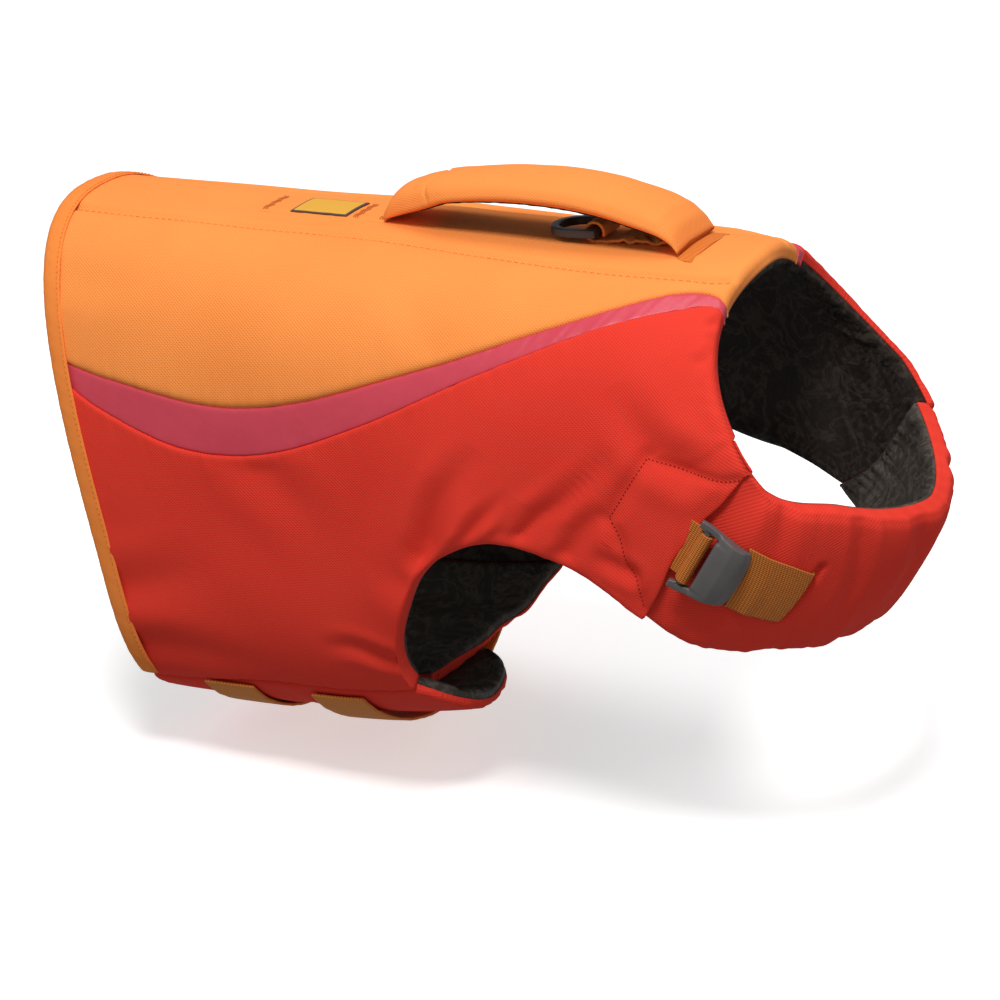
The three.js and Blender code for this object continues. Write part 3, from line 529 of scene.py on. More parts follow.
# Turns a grid into the piece whose points are given, row by row
def layPiece(name, points, material, thick=0.0, outward=None, closeRound=False, cutPlan=None):
    cells = (points.shape[0] - 1, points.shape[1] - 1)
    bm = bmesh.new()
    bmesh.ops.create_grid(bm, x_segments=cells[0], y_segments=cells[1], size=0.5)
    mesh = bpy.data.meshes.new(name)
    bm.to_mesh(mesh)
    bm.free()
    flat = np.empty(len(mesh.vertices) * 3)
    mesh.vertices.foreach_get("co", flat)
    spots = flat.reshape(-1, 3)
    i = np.rint((spots[:, 0] + 0.5) * cells[0]).astype(int)
    j = np.rint((spots[:, 1] + 0.5) * cells[1]).astype(int)
    mesh.vertices.foreach_set("co", points[i, j].ravel())
    along, across = runsOf(points) if cutPlan is None else cutPlan
    cut = np.stack([along[i, j], across[i, j]], axis=-1)
    corners = np.empty(len(mesh.loops), dtype=np.int32)
    mesh.loops.foreach_get("vertex_index", corners)
    mesh.uv_layers.new(name="cut").data.foreach_set("uv", cut[corners].ravel())
    bm = bmesh.new()
    bm.from_mesh(mesh)
    if outward is not None:
        facing = np.cross(points[1:, :-1] - points[:-1, :-1], points[:-1, 1:] - points[:-1, :-1])
        if np.sum(facing * outward[:-1, :-1]) < 0:
            bmesh.ops.reverse_faces(bm, faces=bm.faces[:])
    if closeRound:
        bmesh.ops.remove_doubles(bm, verts=bm.verts[:], dist=1e-6)
        bmesh.ops.holes_fill(bm, edges=[edge for edge in bm.edges if edge.is_boundary], sides=0)
        bmesh.ops.recalc_face_normals(bm, faces=bm.faces[:])
    smoothInto(mesh, bm)
    piece = dress(name, mesh, material)
    if thick:
        wall = piece.modifiers.new("wall", "SOLIDIFY")
        wall.thickness = thick * mm
        wall.offset = -1
    return piece


def outwardOf(points, away):
    normal = np.cross(np.gradient(points, axis=0), np.gradient(points, axis=1))
    normal /= np.linalg.norm(normal, axis=-1, keepdims=True) + 1e-12
    return normal * np.sign(np.sum(normal * away))


# Where each point of a panel lies in the cut cloth: its length along the body and its way down the girth
def clothPlan(flat, at, share):
    girth = np.interp(at, np.linspace(0, 6, len(formGirths)), formGirths) * mm
    return flat[..., 0], np.abs(share) * girth


# What the stitching needs to know of a piece
def pieceFacts(points, facing, flat, out):
    return dict(points=points, outward=outwardOf(points, facing), flat=flat, out=out)


# Drops a padded face towards its four edges, and puckers it beside them
def shapeEdges(out, away, radius, drop, pucker, seed, reach):
    for side, edge in enumerate(away):
        out = out + roundedEdge(edge, radius[side], drop[side])
        run = away[2] if side < 2 else away[0]
        out = out + pucker * wavy(run, seed + side) * np.exp(-edge / (reach * mm))
    return out


# A padded panel on the form. steps: columns and rows; drop and radius round its edges.
def layPanel(name, at, share, tuck, settings, material):
    flat, facing = formAt(at, share)
    away = edgeDistance(flat)
    out = settings["puff"] + settings["swell"] * swell(flat, settings["seed"])
    out = shapeEdges(out, away, settings["radius"], settings["drop"], settings["pucker"], settings["seed"], 7)
    nearest = np.minimum.reduce(away)
    out = out + 0.8 * creaseDepth(flat, settings.get("creases", [])) * (0.2 + 0.8 * smoothStep(0, 9 * mm, nearest))
    if "relief" in settings:
        out = out + settings["relief"](at, share, flat)
    depth = settings["turn"](at, share) if callable(settings["turn"]) else settings["turn"]
    out = mix(out, -depth, tuck)
    points = onForm(at, share, out)
    piece = layPiece(name, points, material, settings["wall"], facing, cutPlan=clothPlan(flat, at, share))
    return piece, pieceFacts(points, facing, flat, out)


print("form measured")

# The sleeve mouth's stitched patch, which has no foam inside it, as ring and share
sleevePatch = dict(back=(3.87, 0.467), top=(4.33, 0.403), front=(6, 0.44), soft=0.05)
patchOutline = [(4.33, 0.400), (4.08, 0.435), (3.87, 0.471)]
patchLowLine = [(3.87, 0.471), (3.93, 0.497), (3.95, 0.532), (4.0, 0.56), (4.0, 0.600)]
patchTopLine = [(4.33, 0.400), (4.7, 0.422), (4.98, 0.443), (5.18, 0.459), (5.52, 0.490), (5.74, 0.508)]


def insidePatch(at, share):
    (backAt, backShare), (topAt, topShare), (frontAt, frontShare) = (
        sleevePatch["back"], sleevePatch["top"], sleevePatch["front"])

    def beside(a, b):
        run = (b[0] - a[0], (b[1] - a[1]) * 6)
        return (run[0] * (-share - a[1]) * 6 - run[1] * (at - a[0])) / math.hypot(*run)

    inside = np.minimum(beside((backAt, backShare), (topAt, topShare)),
                        beside((topAt, topShare), (frontAt, frontShare)))
    return smoothStep(0, sleevePatch["soft"] * 2, inside) * (at > backAt - sleevePatch["soft"]) * (share < 0)


def lineGroove(points, path, width, depth):
    line = onForm(*pathPlaces(path, 60))
    away = np.min(np.linalg.norm(points[:, :, None] - line, axis=-1), axis=-1) / (width * mm)
    return -depth * np.exp(-away ** 2)


# Side panels: red cloth over foam
sideSettings = dict(
    steps=(250, 130), turned=4, puff=1.0, swell=0.7, pucker=0.32, seed=11, wall=1.1,
    radius=(12, 6, 3, 5), drop=(2.6, 3.2, 0.9, 2.6),
)
rightCreases = [
    # width, depth, path from the edge inwards, as ring and share
    (9.0, 2.8, [(2.42, -0.56), (2.53, -0.49), (2.62, -0.42)]),
    (5.5, 4.8, [(2.53, -0.53), (2.68, -0.452), (2.92, -0.385)]),
    (3.2, 3.1, [(2.78, -0.52), (2.92, -0.481), (3.17, -0.442)]),
    (2.8, 2.7, [(2.95, -0.515), (3.12, -0.475), (3.25, -0.452)]),
    (4.4, 5.0, [(3.06, -0.52), (3.28, -0.482), (3.54, -0.446), (4.0, -0.38)]),
    (3.0, 2.2, [(3.25, -0.52), (3.39, -0.494), (3.55, -0.474)]),
    (4.4, 3.2, [(3.45, -0.53), (3.68, -0.479), (3.88, -0.462)]),
    (7.0, 3.6, [(4.86, -0.43), (4.45, -0.39), (4.21, -0.347), (4.02, -0.30)]),
    (3.4, 2.1, [(3.97, -0.55), (3.80, -0.53), (3.66, -0.52)]),
    (2.4, 4.6, [(6.0, -0.236), (5.6, -0.226), (5.2, -0.215)]),
    (2.8, 2.0, [(5.95, -0.30), (5.5, -0.292), (5.1, -0.29)]),
    (9.0, 2.7, [(0.1, -0.62), (0.5, -0.60), (0.95, -0.57)]),
    (8.0, 2.1, [(0.15, -0.70), (0.7, -0.70), (1.3, -0.71)]),
    (4.0, 2.7, [(2.25, -0.68), (2.0, -0.66), (1.75, -0.665)]),
    (10.0, 2.2, [(1.4, -0.42), (1.7, -0.47), (1.9, -0.53)]),
]
leftCreases = [
    (8.0, 2.9, [(2.42, 0.56), (2.50, 0.48), (2.56, 0.42)]),
    (5.0, 4.2, [(2.62, 0.53), (2.76, 0.46), (3.00, 0.40)]),
    (3.0, 3.1, [(2.84, 0.52), (3.02, 0.48), (3.22, 0.45)]),
    (4.8, 4.5, [(3.12, 0.52), (3.34, 0.482), (3.60, 0.44), (4.0, 0.40)]),
    (3.0, 2.4, [(3.40, 0.53), (3.60, 0.51), (3.84, 0.50)]),
    (5.0, 2.8, [(3.9, 0.57), (4.1, 0.52), (4.35, 0.48)]),
    (2.4, 3.1, [(6.0, 0.23), (5.4, 0.205), (4.9, 0.20)]),
    (5.0, 2.5, [(5.9, 0.60), (5.5, 0.56), (5.0, 0.52)]),
    (8.0, 2.5, [(0.1, 0.60), (0.6, 0.59), (1.05, 0.55)]),
    (8.0, 2.1, [(0.15, 0.69), (0.8, 0.70), (1.35, 0.70)]),
    (4.0, 2.4, [(2.25, 0.68), (2.02, 0.665), (1.7, 0.66)]),
]


def sidePlaces(side):
    along, down, tuck = edgeRuns(sideSettings["steps"], sideSettings["turned"])
    topAt = evenRings(along)
    lowAt, lowShare = lowEdge(topAt, side)
    high = trimLow(topAt)[0]
    f = mix(0.0004, 0.9992, down)[None, :]
    at = mix(topAt[:, None], lowAt[:, None], f)
    share = side * mix(high[:, None], lowShare[:, None], f)
    return at, share, tuck


def sideTurn(at, share):
    return mix(np.where(share > 0, 5.6, 7.8), 2.2, insidePatch(at, share))


def sideRelief(side):
    def relief(at, share, flat):
        if side > 0:
            return np.zeros_like(at)
        grooves = ((patchOutline, 4.4, 2.2), (patchOutline, 1.2, 0.7), (patchLowLine, 3.0, 1.5),
                   (patchTopLine, 2.6, 1.5))
        cut = np.zeros_like(at)
        for path, wide, deep in grooves:
            cut = np.minimum(cut, lineGroove(flat, [(a, -s) for a, s in path], wide, deep))
        return cut - 0.5 * insidePatch(at, share)
    return relief


panels = {}
for side, name, creases in ((-1, "sideRight", rightCreases), (1, "sideLeft", leftCreases)):
    at, share, tuck = sidePlaces(side)
    start, end, high, low = sideSettings["drop"]
    settings = dict(sideSettings, creases=creases, turn=sideTurn, relief=sideRelief(side),
                    seed=sideSettings["seed"] + side,
                    drop=(start, end, high, mix(low, 0.6, insidePatch(at, share))))
    piece, panels[name] = layPanel(name, at, share, tuck, settings, red)
    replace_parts(piece, "side_right" if side < 0 else "side_left")
print("side panels made")

# Trims: smooth pink cloth between the back and the sides
trimSettings = dict(
    steps=(240, 26), turned=3, puff=0.1, swell=0.5, pucker=0.3, seed=31, wall=1.0,
    radius=(12, 6, 3, 3), drop=(1.8, 2.8, 0.5, 0.3), turn=8.3,
)
for side, name in ((-1, "trimRight"), (1, "trimLeft")):
    along, down, tuck = edgeRuns(trimSettings["steps"], trimSettings["turned"])
    topAt = evenRings(along)
    high, low = trimTop(topAt)[0], trimLow(topAt)[0]
    share = side * mix(high[:, None], low[:, None], mix(0.002, 0.998, down)[None, :])
    at = np.broadcast_to(topAt[:, None], share.shape)
    settings = dict(trimSettings, seed=trimSettings["seed"] + side)
    piece, panels[name] = layPanel(name, at, share, tuck, settings, pink)
    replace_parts(piece, "trim_right" if side < 0 else "trim_left")

# Back panel: orange cloth over foam, sewn down along a channel on each side of the spine
backSettings = dict(
    steps=(250, 170), turned=4, puff=1.1, swell=0.6, pucker=0.3, seed=51, wall=1.1,
    radius=(12, 10, 4.5, 4.5), drop=(2.7, 4.6, 1.7, 1.7), turn=8.3, channelWide=2.6, channelDeep=2.2,
    creases=[
        (6.0, 0.9, [(5.7, -0.10), (5.0, -0.12), (4.5, -0.125)]),
        (3.6, 0.9, [(4.35, -0.075), (4.6, -0.09), (5.1, -0.12)]),
        (3.6, 0.9, [(4.35, 0.075), (4.6, 0.095), (5.2, 0.11)]),
        (8.0, 0.9, [(0.1, -0.20), (0.5, -0.21), (1.0, -0.19)]),
        (7.0, 0.8, [(0.1, 0.17), (0.4, 0.19), (0.9, 0.22)]),
        (7.0, 0.7, [(2.6, -0.27), (2.4, -0.21), (2.1, -0.15)]),
        (7.0, 0.7, [(2.2, 0.29), (2.1, 0.22), (1.9, 0.15)]),
        (4.0, 0.7, [(1.62, -0.05), (1.4, -0.06), (1.0, -0.04)]),
    ],
)


def backRelief(at, share, flat):
    girth = np.interp(at, np.linspace(0, 6, len(formGirths)), formGirths)
    away = (np.abs(share) - channelLine(at)[0]) * girth
    deep = backSettings["channelDeep"] * smoothStep(6.0, 5.4, at) * smoothStep(0.0, 0.1, at)
    return -deep * np.exp(-(away / backSettings["channelWide"]) ** 2)


along, down, tuck = edgeRuns(backSettings["steps"], backSettings["turned"])
topAt = evenRings(along, share=0.15)
share = trimTop(topAt)[0][:, None] * mix(-0.9995, 0.9995, down)[None, :]
at = np.broadcast_to(topAt[:, None], share.shape)
piece, panels["back"] = layPanel("backPanel", at, share, tuck, dict(backSettings, relief=backRelief), orange)
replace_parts(piece, "back_panel")
print("back panel and trims made")

# Chest band: thick soft foam round the front, its right end tucked into the sleeve mouth
bandEdges = curveThrough([
    # along, topShare, lowAt, lowShare, bulge
    (0, 0.66, 4.5, 0.646, 0), (0.2, 0.8, 4.86, 0.77, 0), (0.42, 1, 4.95, 1, 0), (0.62, 1.2, 4.72, 1.2, 0.005),
    (0.78, 1.34, 4.4, 1.287, 0.02), (0.88, 1.43, 4.15, 1.339, 0.036), (0.95, 1.487, 3.99, 1.382, 0.048),
    (1, 1.504, 3.93, 1.393, 0.056),
])
bandSettings = dict(
    steps=(230, 90), turned=4, seed=71, wall=1.1, swell=1.1, pucker=0.7, turn=11.5, tuckFrom=0.86, tuckTo=0.93,
    tuckOut=-3.2, dip=0.16, slit=[(5.56, 1.285), (5.28, 1.289), (4.98, 1.289)],
    creases=[
        (5.0, 2.6, [(4.25, 1.275), (4.5, 1.24), (4.85, 1.215)]),
        (3.6, 2.0, [(4.42, 1.22), (4.62, 1.20), (4.85, 1.185)]),
        (5.0, 2.4, [(4.62, 1.13), (4.9, 1.11), (5.3, 1.12)]),
        (5.0, 2.4, [(4.3, 1.35), (4.55, 1.38), (4.8, 1.40)]),
        (4.6, 2.2, [(5.95, 1.24), (5.5, 1.20), (5.0, 1.19)]),
        (6.0, 2.2, [(5.95, 1.08), (5.6, 1.05), (5.2, 1.06)]),
        (4.6, 2.0, [(4.78, 0.78), (4.95, 0.81), (5.2, 0.85)]),
        (4.6, 2.0, [(5.95, 0.83), (5.6, 0.80), (5.2, 0.79)]),
        (5.0, 2.2, [(5.9, 1.40), (5.6, 1.38), (5.3, 1.36)]),
        (4.0, 2.0, [(4.95, 0.97), (5.15, 0.98), (5.4, 0.96)]),
    ],
)
bandRows = curveThrough([(0, -4.5), (0.05, -1.3), (0.18, 1.0), (0.4, 1.8), (0.62, 1.8), (0.82, 1.0), (0.95, -1.3),
                         (1, -4.5)])


def bandPlaces(along, down):
    topShare, lowAt, lowShare, bulge = (column[:, None] for column in bandEdges(along))
    f = down[None, :]
    topAt = 6 - bandSettings["dip"] * smoothStep(0.7, 0.9, along)[:, None]
    at = mix(topAt, lowAt, f)
    share = mix(topShare, lowShare, f) + bulge * 4 * f * (1 - f)
    inSleeve = smoothStep(bandSettings["tuckFrom"], bandSettings["tuckTo"], along)[:, None]
    return at, share, inSleeve


def layBand():
    along, down, tuck = edgeRuns(bandSettings["steps"], bandSettings["turned"])
    at, share, inSleeve = bandPlaces(mix(0.002, 1, along), down)
    flat, facing = formAt(at, share)
    start, _, high, low = edgeDistance(flat)
    out = bandRows(down)[0][None, :] + bandSettings["swell"] * swell(flat, bandSettings["seed"], 55)
    out = out + roundedEdge(start, 5, 2.6) + creaseDepth(flat, bandSettings["creases"])
    for edge in (high, low):
        out = out + bandSettings["pucker"] * wavy(start, bandSettings["seed"]) * np.exp(-edge / (9 * mm))
    out = mix(out, bandSettings["tuckOut"], inSleeve)
    out = out + lineGroove(flat, bandSettings["slit"], 1.9, 3.2)
    out = mix(out, mix(-bandSettings["turn"], bandSettings["tuckOut"] - 4, inSleeve), tuck)
    points = onForm(at, share, out)
    piece = layPiece("chestBand", points, red, bandSettings["wall"], facing, cutPlan=runsOf(flat))
    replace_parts(piece, "chest_band")


layBand()

# Belly flaps: the left one steps in and lies inside the right one
flapFronts = {
    -1: curveThrough([(0.742, 2.3), (0.77, 2.4), (0.83, 2.5), (0.9, 2.48), (1, 2.36), (1.05, 2.22), (1.08, 2.04)]),
    1: curveThrough([(0.742, 2.3), (0.78, 2.2), (0.85, 2.12), (1, 2.06), (1.08, 2.04)]),
}
flapSettings = dict(
    steps=(130, 84), turned=3, end=1.08, start=0.03, inset=8.4, stepFrom=0.8, stepTo=0.89, thick=6, wall=1.0,
    puff=0.2, swell=0.3, swellSeed=91, radius=3.5, drop=1.7, pucker=0.25, puckerSeed=95, reach=8,
)
flapCreases = {
    -1: [
        (4.0, 1.4, [(2.46, -0.84), (2.2, -0.83), (1.95, -0.82)]),
        (6.0, 1.2, [(0.2, -0.88), (0.7, -0.9), (1.2, -0.9)]),
        (4.0, 1.2, [(2.4, -0.95), (2.1, -0.94), (1.8, -0.95)]),
        (5.0, 1.0, [(1.2, -0.78), (1.3, -0.84), (1.3, -0.9)]),
    ],
    1: [
        (4.0, 1.2, [(2.1, 0.84), (1.8, 0.83), (1.5, 0.84)]),
        (6.0, 1.2, [(0.2, 0.9), (0.8, 0.92), (1.3, 0.92)]),
        (4.0, 1.0, [(2.0, 0.98), (1.7, 0.96), (1.4, 0.97)]),
    ],
}


def flapPlaces(side, along, down):
    seamAt, seamShare = bellySeam(mix(flapSettings["start"], 2, along))
    f = down[None, :]
    share = mix(seamShare[:, None], flapSettings["end"], f)
    reach = flapFronts[side](mix(0.742, flapSettings["end"], f))[0]
    start = flapSettings["start"]
    at = mix(start, reach, (seamAt[:, None] - start) / (2.3 - start))
    step = np.zeros_like(share)
    if side > 0:
        step = smoothStep(flapSettings["stepFrom"], flapSettings["stepTo"], share)
    return at, side * share, step


# How far the red cloth turns in over a flap's edge before the lining starts
def flapLip(side, share):
    if side < 0:
        return np.full_like(share, 3.8)
    return mix(2.6, 5.8, smoothStep(0.9, 1.02, np.abs(share)))


def layFlap(side, name, node):
    along, down, tuck = edgeRuns(flapSettings["steps"], flapSettings["turned"])
    at, share, step = flapPlaces(side, along, mix(0.0015, 1, down))
    flat, facing = formAt(at, share)
    out = flapSettings["puff"] - step * flapSettings["inset"]
    out = out + flapSettings["swell"] * swell(flat, flapSettings["swellSeed"] + side)
    out = shapeEdges(out, edgeDistance(flat), (flapSettings["radius"],) * 4, (flapSettings["drop"],) * 4,
                     flapSettings["pucker"], flapSettings["puckerSeed"] + side, flapSettings["reach"])
    out = out + creaseDepth(flat, flapCreases[side])
    out = mix(out, -flapLip(side, share) - step * flapSettings["inset"], tuck)
    points = onForm(at, share, out)
    piece = layPiece(name, points, red, flapSettings["wall"], facing, cutPlan=clothPlan(flat, at, share))
    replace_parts(piece, node)
    return pieceFacts(points, facing, flat, out)


panels["flapRight"] = layFlap(-1, "bellyFlapRight", "belly_right")
panels["flapLeft"] = layFlap(1, "bellyFlapLeft", "belly_left")
print("chest band and belly flaps made")

# Linings: thin dark cloth inside, wrapped part of the way round the free edges
liningSettings = dict(out=-8.9, wall=0.5, crinkle=1.5, fold=3.6, start=0.2, end=5.985, steps=(200, 210), turned=3,
                      flapSteps=(110, 80), bandSteps=(150, 60), bandOut=(-13.2, -8.4), bandTurn=(-11.2, -7.6))


def crinkles(points, seed, size=26.0):
    rng = np.random.default_rng(seed)
    total = np.zeros(points.shape[:2])
    for wave in range(12):
        direction = rng.normal(size=3)
        direction /= np.linalg.norm(direction) * size * rng.uniform(0.4, 2.2)
        bend = 2.2 * np.sin(points @ (rng.normal(size=3) / (60 * mm)) + rng.uniform(0, 6.3))
        total += 1 - np.abs(np.sin(points @ (direction / mm) * math.pi + bend + rng.uniform(0, 6.3)))
    return (total / 12) ** 1.6


def layLining(name, node, at, share, base, turnTo, tuck, seed, cloth=lining):
    flat, facing = formAt(at, share)
    edges = edgeDistance(flat)
    nearest = np.minimum.reduce(edges)
    inward = liningSettings["crinkle"] * crinkles(flat, seed) * 2.2
    for order, edge in enumerate(edges):
        run = edges[2] if order < 2 else edges[0]
        folds = (1 - np.abs(wavy(run + 0.3 * edge, seed + order, (9.1, 12.7, 19.3)))) ** 4
        inward = inward + liningSettings["fold"] * folds * np.exp(-edge / (13 * mm))
    out = base - np.clip(inward, 0, 3.6) * (1 - np.exp(-nearest / (1.6 * mm)))
    out = mix(out, turnTo, tuck)
    points = onForm(at, share, out)
    piece = layPiece(name, points, cloth, liningSettings["wall"], -facing)
    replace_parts(piece, node)


def layBodyLining():
    along, round_, tuck = edgeRuns(liningSettings["steps"], liningSettings["turned"], startTurns=False)
    topAt = evenRings(along, liningSettings["start"], liningSettings["end"])
    signed = mix(-1, 1, round_)
    halves = []
    for side in (-1, 1):
        lowAt, lowShare = (column[:, None] for column in lowEdge(topAt, side))
        share = 0.9985 * lowShare * np.abs(signed)[None, :]
        low = trimLow(topAt)[0][:, None]
        f = np.clip((share - low) / (lowShare - low), 0, 1)
        halves.append((mix(topAt[:, None], lowAt, f), side * share))
    right = (signed < 0)[None, :]
    at = np.where(right, halves[0][0], halves[1][0])
    share = np.where(right, halves[0][1], halves[1][1])
    patch = insidePatch(at, share)
    share = share * (1 - 0.02 * patch)
    at = at - 0.09 * patch * smoothStep(5.6, 6, at)
    base = np.full_like(at, liningSettings["out"])
    turnTo = mix(np.where(share > 0, -5.2, -7.4), -8.0, np.abs(share) < trimLow(at)[0])
    tuck = tuck * smoothStep(0.25, 0.3, at) * (patch < 0.01)
    layLining("liningBody", "lining_body", at, share, base, turnTo, tuck, 111)


layBodyLining()
# The flap and band linings below use the paler lining copy, its paleness painted sheen
for side, name, node, flap, cut in (
        (-1, "liningFlapRight", "lining_belly_right", "bellyFlapRight", (0.17, 0.125)),
        (1, "liningFlapLeft", "lining_belly_left", "bellyFlapLeft", (0.155, 0.12))):
    along, down, tuck = edgeRuns(liningSettings["flapSteps"], liningSettings["turned"], startTurns=False)
    at, share, step = flapPlaces(side, mix(0.001, 0.998, along), mix(0.0018, 0.997, down))
    base = -flapSettings["thick"] - 0.8 - step * flapSettings["inset"]
    turnTo = -flapLip(side, share) + 0.3 - step * flapSettings["inset"]
    layLining(name, node, at, share, base, turnTo, tuck, 131 + side, cloth=litLiningCopy)
along, down, tuck = edgeRuns(liningSettings["bandSteps"], liningSettings["turned"])
at, share, inSleeve = bandPlaces(mix(0.004, bandSettings["tuckTo"], along), mix(0.008, 0.985, down))
base = mix(*liningSettings["bandOut"], inSleeve)
turnTo = mix(*liningSettings["bandTurn"], inSleeve)
layLining("liningBand", "lining_band", at, share, base, turnTo, tuck, 151,
          cloth=litLiningCopy)
print("linings made")

# Hem binding: orange tape folded over the rear edge
hemSettings = dict(steps=(300, 24), end=0.757, wall=0.8, pucker=0.22)
hemProfile = curveThrough([
    # round, in from the edge, out
    (0, 11.4, 1.9), (0.2, 6, 2.2), (0.34, 2.4, 1.7), (0.42, 0.8, 0.3), (0.5, 0.1, -3), (0.6, 0.2, -6.4),
    (0.68, 1.2, -9.4), (0.76, 3, -10.3), (1, 10, -10.4),
])


def layHem():
    f = np.linspace(0, 1, hemSettings["steps"][0] + 1)
    share = mix(-hemSettings["end"], hemSettings["end"], f)
    edge, normal = formAt(0, share)
    normal /= np.linalg.norm(normal, axis=-1, keepdims=True)
    inwards = onForm(0.1, share) - edge
    inwards -= normal * np.sum(inwards * normal, axis=-1, keepdims=True)
    inwards /= np.linalg.norm(inwards, axis=-1, keepdims=True)
    inside, out = hemProfile(np.linspace(0, 1, hemSettings["steps"][1] + 1))
    slant = runAlong(edge)[:, None] + inside[None, :] * 0.5 * mm
    out = out[None, :] + hemSettings["pucker"] * wavy(slant, 171, (4.1, 6.3, 9.1, 15.7)) * np.sin(
        np.linspace(0.15, 3, out.size))[None, :] ** 0.5
    points = edge[:, None] + (inwards[:, None] * inside[None, :, None] + normal[:, None] * out[..., None]) * mm
    outerRows = np.where(np.arange(out.shape[1]) < 6, 1.0, 0.0)
    facing = np.broadcast_to(normal[:, None], points.shape) * outerRows[None, :, None]
    piece = layPiece("hemBinding", points, orangeTape, hemSettings["wall"], facing)
    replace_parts(piece, "hem_binding")
    return dict(points=points, outward=outwardOf(points, facing))


panels["hem"] = layHem()
print("hem binding made")

# The handle over the spine
backAts = np.linspace(0, 6, 601)
backXs, backZs = rings(backAts)[0], rings(backAts)[1]


def backTop(x):
    return np.interp(x, backXs, backZs) + 1.0


handleRows = curveThrough([
    # x, rise, above, below, wide
    (-83, 2, 5.5, 1.5, 28), (-80, 3.4, 10.4, 1.6, 30), (-73, 6.2, 12.8, 1.8, 33), (-60, 11.2, 12, 2.2, 38),
    (-47, 16.4, 9.4, 2.6, 42), (-19, 20.8, 8.7, 4, 44), (5, 21.5, 8.5, 4.5, 45), (27, 19.3, 8.5, 4.5, 45),
    (46, 14.7, 8.8, 4, 45), (60, 10.5, 8, 3.4, 45), (67, 6.4, 6, 2.4, 45), (71, 2.2, 2.4, 1.2, 46),
])
handleSettings = dict(steps=(180, 56), gripFrom=-55.5, seamDeep=0.9, seamWide=0.7, seamLean=5)
handleFolds = [
    # x, how wide, how deep, how far it leans
    (56, 3.4, 0.4, 0.5), (63.5, 2.2, 0.5, 0.2), (34, 6.0, 0.25, 0.8), (-10, 8.0, 0.25, -0.7), (-70, 3.0, 0.3, -0.5),
]


def handlePoint(x, angle, extra=0.0):
    rise, above, below, wide = handleRows(x)
    across = np.sign(np.cos(angle)) * np.abs(np.cos(angle)) ** 0.8
    up = np.sign(np.sin(angle)) * np.abs(np.sin(angle)) ** 0.8
    tall = np.where(up > 0, above, below) + extra
    y = across * (wide / 2 + extra)
    return np.stack([x, y, backTop(x) + rise + up * tall], axis=-1) * mm


def layGrip():
    x = np.linspace(-83, 71, handleSettings["steps"][0] + 1)
    x = np.unique(np.concatenate([x, np.linspace(-62.5, -53.5, 32)]))[:, None]
    angle = np.linspace(0, 2 * math.pi, handleSettings["steps"][1] + 1)[None, :]
    x, angle = np.broadcast_arrays(x, angle)
    top = np.clip(np.sin(angle), 0, 1) ** 0.4
    seam = handleSettings["gripFrom"] - handleSettings["seamLean"] * np.abs(np.sin(2 * angle))
    extra = -handleSettings["seamDeep"] * np.exp(-((x - seam) / handleSettings["seamWide"]) ** 2) * top
    extra = extra + 0.4 * smoothStep(0, 1.6, x - seam) * smoothStep(16, 4, x - seam) * top
    for spot, wide, deep, lean in handleFolds:
        middle = spot + lean * 6 * np.cos(angle)
        extra = extra - deep * top * np.exp(-((x - middle) / wide) ** 2)
    extra = extra + 0.8 * np.exp(-(np.sin(angle) / 0.12) ** 2) * smoothStep(-83, -60, x) * smoothStep(71, 60, x)
    points = handlePoint(x, angle, extra)
    points[:, -1] = points[:, 0]
    piece = layPiece("handleGrip", points, orange, closeRound=True)
    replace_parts(piece, "handle_grip")


layGrip()


def layUnderside():
    x = np.linspace(-62, 60, 90)[:, None]
    angle = np.linspace(-0.95, 0.95, 22)[None, :] - math.pi / 2
    x, angle = np.broadcast_arrays(x, angle)
    points = handlePoint(x, angle, 0.55)
    points[..., 2] -= 0.35 * mm * (0.5 + 0.5 * wavy(points[..., 0], 201, (5.3, 8.1, 12.7)))
    facing = np.broadcast_to(np.array([0, 0, -1.0]), points.shape)
    piece = layPiece("handleUnderside", points, lining, 0.5, facing)
    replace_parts(piece, "handle_underside")


layUnderside()


# Flat strips over the spine: anchor, spine strap and label
def layStrip(name, node, material, fromX, toX, wide, out, thick, steps, uneven, seed):
    x = np.linspace(fromX, toX, steps[0] + 1)[:, None]
    y = np.linspace(-wide / 2, wide / 2, steps[1] + 1)[None, :]
    x, y = np.broadcast_arrays(x, y)
    z = backTop(x) + out + thick - 1.6 * (y / 24) ** 2
    edge = np.minimum(np.minimum(x - fromX, toX - x), wide / 2 - np.abs(y))
    z = z - 0.5 * thick * np.exp(-edge / 0.6) + uneven * wavy(x * mm + y * 0.4 * mm, seed, (7.1, 11.3, 17.9))
    points = np.stack([x, y, z], axis=-1) * mm
    facing = np.broadcast_to(np.array([0, 0, 1.0]), points.shape)
    piece = layPiece(name, points, material, thick * 0.8, facing)
    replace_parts(piece, node)


layStrip("handleAnchor", "handle_anchor", bartack, 70, 78.5, 48, 0.1, 1.3, (24, 120), 0.1, 211)
layStrip("spineStrap", "spine_strap", orange, -150, -82.5, 28, 0.1, 0.9, (100, 44), 0.12, 213)
print("handle made")

# Label: a plain woven patch with a border line
labelPlace = dict(fromX=-134, toX=-103.5, wide=24.5, border=0.5, line=1.5)


